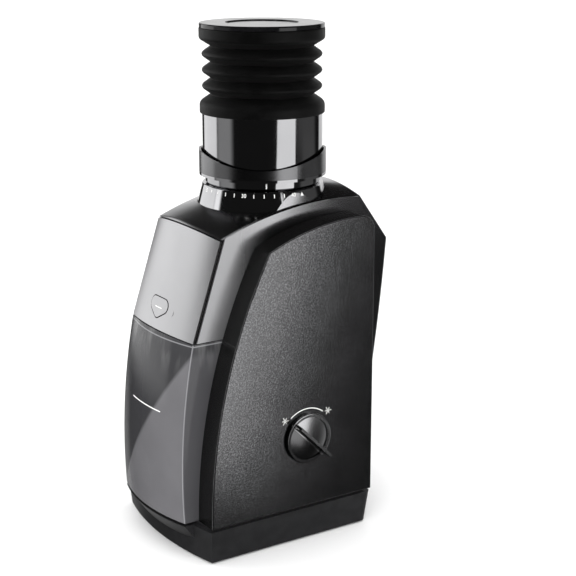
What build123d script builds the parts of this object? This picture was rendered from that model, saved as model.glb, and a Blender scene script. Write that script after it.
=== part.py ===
from build123d import *
import os
from math import acos, atan2, cos, degrees, hypot, pi, radians, sin, tan

# Burr coffee grinder with a single-dose hopper tube and silicone bellows.
# Millimetres. The origin is on the burr axis, on the surface that the grinder stands on.
# +Z is up, the bin and front panel face -Y, and the power knob is on the +X side.

# Fits and seams
seam = 0.8  # visible gap between two covers
clear = 0.3  # between pieces that move past each other
snug = 0.1  # between a fastener or a plug and its hole
running = 0.03  # radial, between a shaft and its bearing
press = 0.02  # radial, between a bearing and its seat
over = 1.0  # how far a cut runs past the face that it opens

# Base
foot_height = 1.2
foot_width = 6.0
foot_inset = 11.0
foot_sunk = 1.0
base_height = 22.4
base_wall = 2.6
base_taper_side = 3.2
base_taper_end = 1.6
base_bow = 7.4
base_corner = 4.0
shadow_gap = 1.8
deck_inset = 3.0
deck_sunk = 2.0  # how far the deck reaches down into the tray
base_proud = 0.6  # front edge of the base ahead of the cheeks
post_r = 5.2
nose_drop = 11.0
nose_tuck = 8.0

# Centre spine, as its side outline at the two flat sides
spine_half = 42.0
spine_wall = 2.4
nose_y = -86.6
split_y = -77.8
crest_front_y = -56.4
crest_rear_y = 49.3
hump_y = 72.4
tail_y = 47.0
panel_rise = 65.0
crest_rise = 82.2
hump_rise = 50.5
bin_bow = 4.0
crest_bow = 6.4
tail_bow = 2.8
swell = 6.8  # extra reach of the front face on the centre line
crown = 5.4  # extra height of the top on the centre line
rear_swell = 2.0
split_rise = 1.7  # arch of the line between bin and panel
edge_round = 1.2
ridge_round = 3.0

# Cheeks
half_width = 60.2
cheek_wall = 2.4
cheek_front_y = -76.4
cheek_corner_y = -32.6
cheek_corner_rise = 57.0
cheek_rear_y = 49.0
cheek_rear_rise = 72.1
cheek_bow = 5.5
cheek_corner_round = 10.0
cheek_edge_round = 1.0
cheek_lap = 5.0
cheek_fit = 0.2  # between a cheek's rim and the plate inside it
boss_rib = 2.4

# Front panel and pulse button
panel_thick = 1.4
panel_seam = 1.1  # shadow gap behind the panel's edge
panel_drop = 2.0  # panel's upper edge below the housing's top
button_rise = 15.0  # button centre above the split line
button_width = 21.6
button_height = 13.0
button_round = 4.6
button_tip_round = 4.2
button_proud = 0.2
button_gap = 0.7  # shadow gap round the button
button_travel = 2.5
button_flange = 1.6
button_lip = 1.5
button_boss_r = 3.0
pulse_height = 12.0
pulse_depth = 5.0
pulse_post_r = 2.5

# Grounds bin
bin_height = 119.7
bin_wall = 1.8
bin_rear_y = -14.0
bin_corner = 3.0

# Inner frame
frame_wall = 2.0
frame_rear_y = 41.5
bay_gap = 1.4
ceiling_step = 12.0  # how far the ceiling's two parts stay behind the front

# Drive train
motor_y = 24.0
motor_r = 23.0
motor_length = 82.0
motor_can_wall = 1.6
motor_cap_height = 7.0
motor_cap_r = 20.0
motor_cap_floor = 2.0
motor_cap_spigot = 3.0
motor_collar_r = 5.0  # hole in the gearbox floor round the motor's shaft
magnet_thick = 4.5
magnet_length = 46.0
magnet_sweep = 130.0
rotor_r = 15.5
rotor_length = 44.0
commutator_r = 7.8
commutator_rise = 5.0
motor_shaft_r = 2.0
motor_seat_r = 18.4
motor_screw_r = 12.6
motor_screw_angles = (95.0, 215.0)
motor_screw_length = 5.0
first_module = 0.8
first_pinion_teeth = 10
first_wheel_teeth = 40
first_shift = 0.4
second_module = 1.0
second_pinion_teeth = 12
second_wheel_teeth = 42
second_shift = 0.3
pressure_angle = 20.0
backlash = 0.16
dedendum = 1.25  # root depth in modules
flank_steps = 3
first_face = 6.0
second_face = 8.0
gear_room = 1.2
gearbox_wall = 2.2
gearbox_floor = 2.5
gearbox_roof = 3.0
lug_angles = (170.0, 250.0, 310.0)
lug_reach = 1.5  # lug centres outside the gearbox wall
cluster_pin_r = 2.5
drive_r = 4.0
bearing_r = 8.0
bearing_height = 5.0
bearing_floor = 1.0
bearing_wall = 1.6
bearing_lip = 1.5
wheel_web = 3.0
wheel_rim = 3.0

# Burrs and chamber
chamber_inset = 4.5  # chamber's outside from the spine's flat side
chamber_wall = 2.9
chamber_floor = 6.0
chamber_depth = 26.6
chamber_rim = 4.0
chamber_screw_r = 13.0
chamber_screw_count = 3
chamber_screw_turn = 30.0
outlet_width = 24.0
outlet_height = 11.0
wiper_height = 6.0
wiper_r = 31.5
wiper_blades = 4
blade_height = 4.2
blade_thick = 3.0
blade_turn = 45.0
wiper_hub_r = 17.5
cone_r = 19.0
cone_waist_r = 16.4
cone_tip_r = 9.5
cone_base_height = 8.0
cone_height = 22.0
cone_teeth = 32
feed_teeth = 6
feed_twist = 40.0
feed_foot_root_r = 10.8
feed_tip_root_r = 6.8
cone_twist = 12.0
tooth_depth = 1.0
ring_r = 24.5
ring_height = 16.0
ring_throat_r = 18.6
ring_exit_r = 21.0
ring_teeth = 36
ring_lift = 1.0  # ring burr's lower face above the cone burr's
holder_height = 14.0
holder_drop = 1.5  # holder's top below the chamber's
holder_flange = 3.0
holder_wall = 3.5
seal_thick = 2.2
seal_inset = 2.0
seal_width = 6.0
nut_r = 6.5
nut_height = 4.5
nut_cap = 1.0

# Chute
chute_half = 14.0
chute_wall = 2.0
chute_drop_y = -46.0
chute_depth = 16.0
chute_shelf = 5.0  # flat stretch of the chute's top in front of the chamber
chute_knee_share = 0.45  # height of the knee, as a share of the way from mouth to top

# Scale collar and adjusting ring
collar_flare = 2.6  # collar's foot past the spine's flat side, before it is trimmed
collar_inset = 2.0  # collar's top rim from the spine's flat side
collar_flat_inset = 1.6
collar_sleeve_inset = 3.4
collar_sleeve_wall = 2.4
collar_height = 29.4
collar_cone_z = 11.0  # cone foot above the collar's own foot
collar_round = 0.8
adjust_height = 23.0
adjust_wall = 4.9
adjust_tab_height = 4.0
adjust_lip = 3.0
slot_width = 10.0
slot_depth = 4.0

# Hopper
neck_r = 38.0
neck_height = 5.4
neck_chamfer = 1.0
flange_height = 1.8
ring_gap = 1.0  # between the tube and the band round its foot
ring_band = 1.4
ring_band_height = 15.0
scoop_depth = 8.8
scoop_azimuth = 58.0
throat_r = 20.0
throat_height = 6.0
tube_r = 39.6
tube_wall = 1.5
tube_height = 45.0

# Bellows and lid
cuff_wall = 1.4
cuff_lap = 6.4  # how far the cuff reaches down over the tube
cuff_taper = 5.6
cuff_foot = 1.6
cuff_ease = 0.6
rib_count = 3
rib_pitch = 10.3
rib_inset = 0.4  # ribs' crests inside the tube's outside
rib_depth = 5.7
rib_flat = 1.2
rib_slope = 3.0
skin = 1.8
top_cuff_height = 11.7
cap_slope = 4.6
lid_inset = 0.2  # lid's rim inside the top cuff's
lid_thick = 2.8
lid_recess_r = 23.8
lid_recess = 0.7
lid_plug_depth = 7.0
lid_round = 0.9

# Power knob and its switch
knob_y = -4.0
knob_rise = 48.6  # above the base deck
knob_r = 17.2
knob_skirt = 2.6
knob_face_r = 14.8
knob_sink = 1.0  # face's edge below the knob's rim
knob_dome = 1.3
knob_round = 0.8
knob_standoff = 0.4
knob_hub_r = 5.2
fin_foot = 3.2
fin_top = 1.8
fin_height = 11.4
fin_angle = 135.0
fin_inset = 0.6
spindle_r = 3.0
spindle_seat = 0.6
spindle_tail = 2.0
switch_size = 24.0

# Board, gland and screws
board_thick = 1.6
board_width = 44.0
board_height = 52.0
board_rise = 30.0
board_edge = 4.0
core_size = 18.0
board_gap = 2.9  # between the board's tallest piece and the cheek
core_proud = 1.0  # how far the coil core stands past the heat sink and the capacitors
sink_width = 14.0
sink_thick = 3.0
capacitor_r = 3.6
capacitor_pitch = 9.0
gland_x = -30.0
gland_bore_r = 3.4
gland_r = 5.0
gland_flange_r = 7.0
gland_flange = 1.8
gland_length = 10.0
gland_proud = 0.4
gland_boss_r = 7.5
screw_r = 1.5
screw_head_r = 3.0
screw_head = 2.2
boss_r = 4.2
boss_front_y = -58.0
boss_rear_y = 36.0
boss_height = 11.0
head_room = 0.4  # how far a sunk screw head lies below the face
tip_room = 1.5

# Levels that follow from the sizes above
base_top = foot_height + base_height
body_z = base_top + shadow_gap
deck_floor = base_top - deck_sunk
split_z = body_z + clear + bin_height
frame_z = split_z + split_rise + bay_gap
gearbox_z = frame_z + frame_wall
first_z = gearbox_z + gearbox_floor + gear_room
second_z = first_z + first_face + gear_room
cover_z = first_z + first_face
roof_z = second_z + second_face + gear_room
chamber_z = roof_z + gearbox_roof
floor_z = chamber_z + chamber_floor
wiper_z = floor_z + clear
cone_z = wiper_z + wiper_height
chamber_top = floor_z + chamber_depth
collar_top = chamber_top + collar_height
holder_top = chamber_top - holder_drop
adjust_z = holder_top + seal_thick + clear
neck_z = collar_top + clear
flange_z = neck_z + neck_height
tube_z = flange_z + flange_height
tube_top = tube_z + tube_height
cuff_z = tube_top - cuff_lap
ribs_z = tube_top + cuff_taper
cap_z = ribs_z + rib_count * rib_pitch
bellows_top = cap_z + top_cuff_height
lid_z = bellows_top + clear
knob_z = body_z + knob_rise
cheek_x = spine_half + clear
plate_x = cheek_x + frame_wall
cheek_inside = half_width - cheek_wall
core_depth = cheek_inside - plate_x - board_thick - board_gap
sink_depth = core_depth - core_proud
chamber_r = spine_half - chamber_inset
collar_foot_r = spine_half + collar_flare
collar_rim_r = spine_half - collar_inset
collar_sleeve_r = spine_half - collar_sleeve_inset
collar_bore_r = collar_sleeve_r - collar_sleeve_wall
adjust_out_r = collar_bore_r - clear
adjust_bore_r = adjust_out_r - adjust_wall
ring_out_r = tube_r + ring_gap + ring_band
cuff_r = tube_r + cuff_wall
rib_r = tube_r - rib_inset
groove_r = rib_r - rib_depth
lid_r = cuff_r - lid_inset
boss_x = (plate_x + cheek_inside) / 2
knob_foot = half_width + knob_standoff
gland_z = foot_height + base_height / 2
gland_y = cheek_rear_y + gland_proud
pulse_post_x = button_width / 2 + button_lip + 2 * clear + pulse_post_r
sunk_head = screw_head + head_room

# Gear centres: the cluster pin stands where both centre distances meet
first_reach = first_module * (first_pinion_teeth + first_wheel_teeth) / 2
second_reach = second_module * (second_pinion_teeth + second_wheel_teeth) / 2
cluster_y = (second_reach**2 - first_reach**2 + motor_y**2) / (2 * motor_y)
cluster_x = (second_reach**2 - cluster_y**2) ** 0.5
first_wheel_r = first_module * (first_wheel_teeth / 2 + 1 - first_shift)
second_wheel_r = second_module * (second_wheel_teeth / 2 + 1 - second_shift)


def block(x0, x1, y0, y1, z0, z1):
    """Box between two corners."""
    return Pos((x0 + x1) / 2, (y0 + y1) / 2, (z0 + z1) / 2) * Box(x1 - x0, y1 - y0, z1 - z0)


def rod(r, z0, z1, x=0, y=0):
    """Upright cylinder."""
    return Pos(x, y, (z0 + z1) / 2) * Cylinder(r, z1 - z0)


def pipe(r_out, r_in, z0, z1, x=0, y=0):
    """Upright round tube."""
    return rod(r_out, z0, z1, x, y) - rod(r_in, z0, z1, x, y)


def turned(points):
    """Solid turned about the burr axis from an outline of (radius, height) points."""
    return revolve(Plane.XZ * make_face(Polyline(*points, close=True)), Axis.Z)


def bowed(p, q, bow):
    """Arc from p to q whose middle stands off the chord by bow, on the left of the way there."""
    run = hypot(q[0] - p[0], q[1] - p[1])
    middle = (
        (p[0] + q[0]) / 2 - bow * (q[1] - p[1]) / run,
        (p[1] + q[1]) / 2 + bow * (q[0] - p[0]) / run,
    )
    return ThreePointArc(p, middle, q)


def mirrored(shape):
    """The same piece on the other side of the centre plane."""
    return mirror(shape, about=Plane.YZ)


def spine_outline(share, inset):
    """Side outline of the spine; share is 0 at its flat sides and 1 on the crowned centre line."""
    reach = swell * share
    lift = crown * share
    back = rear_swell * share
    foot = (nose_y - reach, body_z)
    split = (split_y - reach, split_z)
    front = (crest_front_y - reach, split_z + panel_rise + lift)
    rear = (crest_rear_y + back / 2, split_z + crest_rise + lift)
    hump = (hump_y + back, split_z + hump_rise)
    tail = (tail_y + back, body_z)
    face = make_face(
        [
            bowed(foot, split, bin_bow),
            Line(split, front),
            bowed(front, rear, crest_bow),
            Line(rear, hump),
            bowed(hump, tail, tail_bow),
            Line(tail, foot),
        ]
    )
    return offset(face, -inset, kind=Kind.INTERSECTION) if inset else face


def spine(inset=0.0):
    """Crowned spine block: a smooth loft from one flat side over the centre line to the other."""
    half = spine_half - inset
    stations = ((-half, 0), (0, 1), (half, 0))
    return loft([Plane.YZ.offset(x) * spine_outline(share, inset) for x, share in stations])


def rounded_spine():
    """Spine block with its ridges and the arrises of its flat sides rounded."""
    raw = spine()
    ridges = [e for e in raw.edges() if abs(e.center().X) < 1 and e.center().Z > split_z + edge_round]
    eased = fillet(ridges, ridge_round)
    at_side = [e for e in eased.edges() if abs(abs(e.center().X) - spine_half) < 1e-3]
    arrises = [e for e in at_side if e.center().Z > body_z + edge_round]
    return fillet(arrises, edge_round)


def behind_front(depth):
    """Everything further than depth behind the front panel's face."""
    side = spine_half + cheek_wall
    slope = (crest_front_y - split_y) / panel_rise
    low = body_z - over
    high = split_z + 2 * panel_rise
    far = hump_y + panel_rise

    def section(x):
        face_y = split_y - swell * (1 - (x / spine_half) ** 2) + depth
        corners = (
            (face_y + slope * (low - split_z), low),
            (face_y + slope * (high - split_z), high),
            (far, high),
            (far, low),
        )
        return Plane.YZ.offset(x) * make_face(Polyline(*corners, close=True))

    return loft([section(x) for x in (-side, 0, side)])


def under_top(drop):
    """Everything in the spine's width that is lower than drop below its top."""
    return Pos(0, -over, -drop - over) * spine(-over)


def below_split(gap):
    """Everything below the arched line between bin and panel, less half the gap."""
    arch = (spine_half**2 + split_rise**2) / (2 * split_rise)
    long = hump_y - 2 * nose_y
    top = split_z + split_rise - gap
    return Pos(0, 0, top - arch) * Rot(90, 0, 0) * Cylinder(arch, long)


def cheek_outline(inset=0.0):
    """Side outline of a cheek: one long front arc, a bowed top and a rounded rear corner."""
    foot = (cheek_front_y, body_z)
    corner = (cheek_corner_y, split_z + cheek_corner_rise)
    rear = (cheek_rear_y, split_z + cheek_rear_rise)
    tail = (cheek_rear_y, body_z)
    face = make_face(
        [
            TangentArc(foot, corner, tangent=(0, 1)),
            bowed(corner, rear, cheek_bow),
            Line(rear, tail),
            Line(tail, foot),
        ]
    )
    face = fillet(face.vertices().sort_by_distance((rear[0], rear[1], 0))[0], cheek_corner_round)
    return offset(face, -inset, kind=Kind.INTERSECTION) if inset else face


def cheek_prism(x0, x1, inset=0.0):
    """The cheek's outline carried straight across from x0 to x1."""
    return extrude(Plane.YZ.offset(x0) * cheek_outline(inset), x1 - x0)


def base_section(z, inset, taper):
    """Plan of the base at height z; taper 1 is its foot and 0 its top."""
    half = half_width - inset - taper * base_taper_side
    front = cheek_front_y - base_proud + inset + taper * base_taper_end
    rear = cheek_rear_y - inset - taper * base_taper_end
    face = make_face(
        [
            ThreePointArc((-half, front), (0, front - base_bow), (half, front)),
            Line((half, front), (half, rear)),
            Line((half, rear), (-half, rear)),
            Line((-half, rear), (-half, front)),
        ]
    )
    return Pos(0, 0, z) * fillet(face.vertices().group_by(Axis.Y)[-1], base_corner)


def nose_section(z, inset, tuck):
    """Plan of the base's nose under the bin at height z."""
    half = spine_half - inset
    front = nose_y + inset + tuck
    back = cheek_front_y + base_wall + tuck
    face = make_face(
        [
            ThreePointArc((-half, front), (0, front - swell), (half, front)),
            Line((half, front), (half, back)),
            Line((half, back), (-half, back)),
            Line((-half, back), (-half, front)),
        ]
    )
    return Pos(0, 0, z) * face


def boss_places():
    """Where the four base screws stand, as (x, y)."""
    return [(x, y) for x in (-boss_x, boss_x) for y in (boss_front_y, boss_rear_y)]


def screw(z_head, length, x, y):
    """Screw pointing up, its head's flat on z_head."""
    return rod(screw_head_r, z_head - screw_head, z_head, x, y) + rod(screw_r, z_head, z_head + length, x, y)


def screw_down(z_head, length, x, y):
    """Screw pointing down, its head standing on z_head."""
    return rod(screw_head_r, z_head, z_head + screw_head, x, y) + rod(screw_r, z_head - length, z_head, x, y)


def group(shapes):
    """Separate solids kept together as one node."""
    return Compound(children=list(shapes))


def base_tray():
    """Tapered tray with a nose under the bin, a raised deck, four screw posts and the gland's boss."""
    floor = foot_height + base_wall
    body = loft([base_section(foot_height, 0, 1), base_section(base_top, 0, 0)], ruled=True)
    nose_foot = base_top - nose_drop
    body += loft([nose_section(nose_foot, 0, nose_tuck), nose_section(base_top, 0, 0)], ruled=True)
    hollow = loft([base_section(floor, base_wall, 1), base_section(deck_floor, base_wall, 0)], ruled=True)
    body -= hollow
    deck = base_section(deck_floor, deck_inset, 0) + nose_section(deck_floor, deck_inset, 0)
    body += extrude(deck, body_z - deck_floor)
    window_front = motor_y - motor_cap_r
    body -= block(-motor_r, motor_r, window_front, frame_rear_y, deck_floor - over, body_z + over)
    boss = Plane.XZ.offset(-gland_y) * Pos(gland_x, gland_z) * Circle(gland_boss_r)
    body += extrude(boss, gland_length - gland_flange)
    hole = Plane.XZ.offset(-gland_y - over) * Pos(gland_x, gland_z) * Circle(gland_r + snug)
    body -= extrude(hole, gland_length + 2 * over)
    for x, y in boss_places():
        body += rod(post_r, floor - base_wall / 2, deck_floor + deck_sunk / 2, x, y)
    for x, y in boss_places():
        body -= rod(screw_r + snug, foot_height - over, body_z + over, x, y)
        body -= rod(screw_head_r + snug, foot_height - over, foot_height + sunk_head, x, y)
    return body - foot_ring()


def foot_ring():
    """Flat ring under the base, sunk a little into it."""
    outer = base_section(0, foot_inset, 1)
    inner = base_section(0, foot_inset + foot_width, 1)
    return extrude(outer - inner, foot_height + foot_sunk)


def base_screws():
    """Four screws from under the base up into the cheeks' bosses."""
    head = foot_height + sunk_head
    reach = body_z + boss_height - tip_room - head
    return group([screw(head, reach, x, y) for x, y in boss_places()])


def cord_gland():
    """Flanged bush in the base's rear wall."""
    face = Plane.XZ.offset(-gland_y) * Pos(gland_x, gland_z)
    body = extrude(face * Circle(gland_flange_r), -gland_flange)
    body += extrude(face * Circle(gland_r), gland_length - gland_flange)
    bore = Plane.XZ.offset(-gland_y - gland_flange - over) * Pos(gland_x, gland_z) * Circle(gland_bore_r)
    return body - extrude(bore, gland_length + 2 * over)


def right_cheek():
    """Straight tray-shaped cover: side plate, rim all round, screw bosses and the knob's hole."""
    body = cheek_prism(cheek_x, half_width)
    outer = [e for e in body.edges() if abs(e.center().X - half_width) < 1e-3]
    body = fillet(outer, cheek_edge_round)
    front = cheek_front_y + cheek_wall
    rear = cheek_rear_y - cheek_wall
    body -= cheek_prism(cheek_x, cheek_inside, cheek_wall)
    body -= block(cheek_x, cheek_inside, front, rear, body_z, body_z + 2 * cheek_wall)
    for x, y in boss_places():
        if x > 0:
            body += rod(boss_r, body_z, body_z + boss_height, x, y)
            side = cheek_inside + cheek_wall / 2
            body += block(x, side, y - boss_rib / 2, y + boss_rib / 2, body_z, body_z + boss_height)
            body -= rod(screw_r + snug, body_z - over, body_z + boss_height - over, x, y)
    hole = Plane.YZ.offset(cheek_inside - over) * Pos(knob_y, knob_z) * Circle(knob_hub_r + clear)
    return body - extrude(hole, cheek_wall + 2 * over)


def left_cheek():
    """Mirror of the right cheek, with no knob hole."""
    body = mirrored(right_cheek())
    patch = Plane.YZ.offset(-half_width) * Pos(knob_y, knob_z) * Circle(knob_hub_r + clear)
    return body + extrude(patch, cheek_wall)


def main_housing():
    """Side bands, top and rear hump in one shell, open below and in front."""
    body = rounded_spine() - spine(spine_wall)
    body -= under_top(panel_drop - seam) - behind_front(panel_thick + panel_seam)
    far = 2 * half_width
    front = block(-far, far, 2 * nose_y, bin_rear_y, 0, split_z + split_rise + seam)
    body -= front & below_split(-seam / 2)
    lap = cheek_wall + cheek_lap
    body -= block(-far, far, 2 * nose_y, cheek_rear_y - lap, 0, body_z + 2 * lap)
    inner = spine_half - spine_wall
    body -= block(-inner, inner, 0, tail_y - spine_wall, 0, body_z + 2 * spine_wall)
    body -= cheek_prism(-far, far, lap)
    return body - collar_hole()


def collar_flats(gap):
    """Slab that keeps the collar's cone inside the spine's flat sides."""
    flat = spine_half - collar_flat_inset + gap
    reach = 2 * collar_foot_r
    return block(-flat, flat, -reach, reach, chamber_top, collar_top + reach)


def collar_hole():
    """Hole in the housing's top, a clearance larger than the collar that stands in it."""
    low = chamber_top + collar_cone_z - clear
    rim = collar_rim_r + clear
    top = collar_top + crown
    cone = turned([(0, low), (collar_foot_r + clear, low), (rim, collar_top), (rim, top), (0, top)])
    return cone & collar_flats(clear)


def panel_plane(depth):
    """Plane on the panel's centre line at the button, depth behind the face, looking out."""
    slope = atan2(crest_front_y - split_y, panel_rise)
    face_y = split_y - swell + tan(slope) * button_rise
    origin = Vector(0, face_y, split_z + button_rise) + Vector(0, cos(slope), -sin(slope)) * depth
    return Plane(origin=origin, x_dir=(1, 0, 0), z_dir=(0, -cos(slope), sin(slope)))


def button_face(grow):
    """Rounded triangle pointing down, grown all round by grow."""
    side = button_width / 2 - button_round
    top = button_height / 2 - button_round
    foot = button_tip_round - button_height / 2
    corners = [Pos(x, top) * Circle(button_round + grow) for x in (-side, side)]
    corners.append(Pos(0, foot) * Circle(button_tip_round + grow))
    return make_hull([e for c in corners for e in c.edges()])


def button_seat():
    """Depth behind the panel's face where the button's flange starts, clear of the panel's curve."""
    reach = button_width / 2 + button_lip
    return panel_thick + clear + swell * (reach / spine_half) ** 2


def front_panel():
    """Crowned front plate with the button's hole and two posts for the pulse switch."""
    body = rounded_spine() - behind_front(panel_thick) - below_split(-seam / 2)
    far = 2 * half_width
    body &= block(-far, far, 2 * nose_y, hump_y, split_z - split_rise, split_z + 2 * panel_rise)
    body &= under_top(panel_drop)
    reach = pulse_setback() - panel_thick / 2
    for x in (-1, 1):
        post = Pos(x * pulse_post_x, 0) * Circle(pulse_post_r)
        body += extrude(panel_plane(panel_thick / 2) * post, -reach)
    return body - extrude(panel_plane(-panel_thick) * button_face(button_gap), -4 * panel_thick)


def pulse_setback():
    """Distance from the panel's face back to the pulse switch."""
    return button_seat() + button_flange + button_travel + 2 * button_lip


def pulse_button():
    """Button whose face follows the panel, with a flange behind it that keeps it in."""
    depth = button_seat()
    slope = atan2(crest_front_y - split_y, panel_rise)
    stem = extrude(panel_plane(depth) * button_face(0), depth + 2 * button_proud)
    stem &= Pos(0, -button_proud * cos(slope), button_proud * sin(slope)) * spine()
    flange = extrude(panel_plane(depth) * button_face(button_lip), -button_flange)
    boss = extrude(panel_plane(depth + button_flange) * Circle(button_boss_r), clear - 2 * button_lip)
    return stem + flange + boss


def pulse_switch():
    """Small push switch on its board, behind the button."""
    plane = panel_plane(pulse_setback())
    board = extrude(plane * Rectangle(2 * (pulse_post_x + pulse_post_r), pulse_height), -board_thick)
    case = extrude(plane * Rectangle(pulse_height / 2, pulse_height / 2), -pulse_depth)
    return board + case


def grounds_bin():
    """Open-topped bin whose front is the lower part of the crowned face."""
    side = spine_half
    low = body_z + clear
    far = 2 * nose_y
    body = rounded_spine() & block(-side, side, far, bin_rear_y, low, split_z + 2 * split_rise)
    rear = [e for e in body.edges().filter_by(Axis.Z) if e.center().Y > bin_rear_y - over]
    body = fillet(rear, bin_corner)
    inside = spine(bin_wall)
    inner = side - bin_wall
    back = bin_rear_y - bin_wall
    room = block(-inner, inner, far, back, low + bin_wall, split_z + 2 * split_rise + over)
    inner_rear = [e for e in room.edges().filter_by(Axis.Z) if e.center().Y > back - over]
    body -= inside & fillet(inner_rear, bin_corner - bin_wall / 2)
    return body & below_split(seam / 2)


def inner_frame():
    """Bay for the bin with side plates, a rear wall and a ceiling that carries the gearbox."""
    inset = cheek_wall + cheek_fit
    top = gearbox_z
    keep = block(-half_width, half_width, 2 * nose_y, frame_rear_y, body_z, top)
    plate = cheek_prism(cheek_x, plate_x, inset) & keep
    plate += block(cheek_x, plate_x, cheek_front_y + inset, frame_rear_y, body_z, body_z + 2 * inset)
    bay_rear = bin_rear_y + bay_gap
    narrow = spine_half - spine_wall - clear
    body = plate + mirrored(plate)
    body += block(-plate_x, plate_x, bay_rear, bay_rear + frame_wall, body_z, top)
    body += block(-plate_x, plate_x, cheek_corner_y - ceiling_step, frame_rear_y, frame_z, top)
    body += block(-narrow, narrow, split_y + ceiling_step, cheek_corner_y, frame_z, top)
    body -= rod(motor_r + clear, frame_z - over, top + over, 0, motor_y)
    side = chute_half + 2 * snug
    front = chute_drop_y - chute_depth - 2 * snug
    return body - block(-side, side, front, chute_drop_y + 2 * snug, frame_z - over, top + over)


def gearbox_plan(grow):
    """Plan of the gearbox: the hull of circles round the three gear centres."""
    drive = Circle(second_wheel_r + gear_room + grow)
    cluster = Pos(cluster_x, cluster_y) * Circle(first_wheel_r + gear_room + grow)
    motor = Pos(0, motor_y) * Circle(motor_seat_r + grow)
    return make_hull(drive.edges() + cluster.edges() + motor.edges())


def gearbox_screw_places():
    """Three corner lugs of the gearbox, as (x, y)."""
    reach = second_wheel_r + gear_room + gearbox_wall + lug_reach
    return [(reach * cos(radians(a)), reach * sin(radians(a))) for a in lug_angles]


def motor_screw_places():
    """Two screws through the gearbox floor into the motor, clear of the gears, as (x, y)."""
    turns = [radians(a) for a in motor_screw_angles]
    return [(motor_screw_r * cos(a), motor_y + motor_screw_r * sin(a)) for a in turns]


def chamber_screw_places():
    """Three screws in the chamber's floor, as (x, y)."""
    step = 360 / chamber_screw_count
    turns = [radians(chamber_screw_turn + step * i) for i in range(chamber_screw_count)]
    return [(chamber_screw_r * cos(a), chamber_screw_r * sin(a)) for a in turns]


def gearbox_base():
    """Gear tray with the lower bearing's seat and the cluster pin's boss."""
    body = extrude(Pos(0, 0, gearbox_z) * gearbox_plan(gearbox_wall), cover_z - gearbox_z)
    for x, y in gearbox_screw_places():
        body += rod(boss_r, gearbox_z, cover_z, x, y)
    floor = gearbox_z + gearbox_floor
    body -= extrude(Pos(0, 0, floor) * gearbox_plan(0), cover_z - floor + over)
    seat = gearbox_z + bearing_floor
    body += rod(bearing_r + bearing_wall, gearbox_z, seat + bearing_height)
    body -= rod(bearing_r + press, seat, seat + bearing_height + over)
    body -= rod(cluster_pin_r, gearbox_z - over, floor + over, cluster_x, cluster_y)
    body -= rod(motor_collar_r, gearbox_z - over, floor + over, 0, motor_y)
    for x, y in motor_screw_places():
        body -= rod(screw_r + snug, gearbox_z - over, floor + over, x, y)
    for x, y in gearbox_screw_places():
        body -= rod(screw_r + snug, floor, cover_z + over, x, y)
    return body


def gearbox_cover():
    """Lid of the gearbox, with the upper bearing's seat open to the burr chamber."""
    seat = chamber_z - sunk_head
    body = extrude(Pos(0, 0, cover_z) * gearbox_plan(gearbox_wall), chamber_z - cover_z)
    for x, y in gearbox_screw_places():
        body += rod(boss_r, cover_z, seat, x, y)
    body -= extrude(Pos(0, 0, cover_z - over) * gearbox_plan(0), roof_z - cover_z + over)
    body -= rod(bearing_r - bearing_lip, roof_z - over, chamber_z + over)
    body -= rod(cluster_pin_r, roof_z - over, roof_z + gearbox_roof / 2, cluster_x, cluster_y)
    for x, y in chamber_screw_places():
        body -= rod(screw_r + snug, roof_z - over, chamber_z + over, x, y)
    for x, y in gearbox_screw_places():
        body -= rod(screw_r + snug, cover_z - over, chamber_z, x, y)
        body -= rod(screw_head_r + snug, seat, chamber_z + over, x, y)
    return body


def gearbox_screws():
    """Screws that hold the gearbox cover to its base."""
    seat = chamber_z - sunk_head
    length = seat - gearbox_z - gearbox_floor - snug
    return group([screw_down(seat, length, x, y) for x, y in gearbox_screw_places()])


def tooth_angle(r, base_r, pitch_half):
    """Half the angle that an involute tooth takes at radius r, given it at the pitch circle."""
    alpha = radians(pressure_angle)
    here = acos(min(1.0, base_r / r))
    return pitch_half + (tan(alpha) - alpha) - (tan(here) - here)


def gear(module, teeth, shift, z0, height, x, y, tooth_at):
    """Spur gear with involute flanks and one tooth centred at the angle tooth_at, in degrees."""
    pitch_r = module * teeth / 2
    base_r = pitch_r * cos(radians(pressure_angle))
    tip_r = pitch_r + module * (1 + shift)
    root_r = pitch_r - module * (dedendum - shift)
    thick = module * (pi / 2 + 2 * shift * tan(radians(pressure_angle))) - backlash
    start_r = max(base_r, root_r)
    radii = [start_r + (tip_r - start_r) * i / flank_steps for i in range(flank_steps + 1)]
    flank = [(r, tooth_angle(r, base_r, thick / (2 * pitch_r))) for r in radii]
    if root_r < start_r:
        flank.insert(0, (root_r, flank[0][1]))
    points = []
    for i in range(teeth):
        centre = radians(tooth_at) + 2 * pi * i / teeth
        points += [(r * cos(centre - a), r * sin(centre - a)) for r, a in flank]
        points += [(r * cos(centre + a), r * sin(centre + a)) for r, a in reversed(flank)]
    return Pos(x, y, z0) * extrude(make_face(Polyline(*points, close=True)), height)


def mesh_angles():
    """Directions, in degrees, from the motor to the cluster and from the cluster to the drive."""
    first = degrees(atan2(cluster_y - motor_y, cluster_x))
    second = degrees(atan2(-cluster_y, -cluster_x))
    return first, second


def motor_pinion():
    """Small first-stage gear on the motor's shaft."""
    first, _ = mesh_angles()
    body = gear(first_module, first_pinion_teeth, first_shift, first_z, first_face, 0, motor_y, first)
    return body - rod(motor_shaft_r, first_z, first_z + first_face, 0, motor_y)


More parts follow.
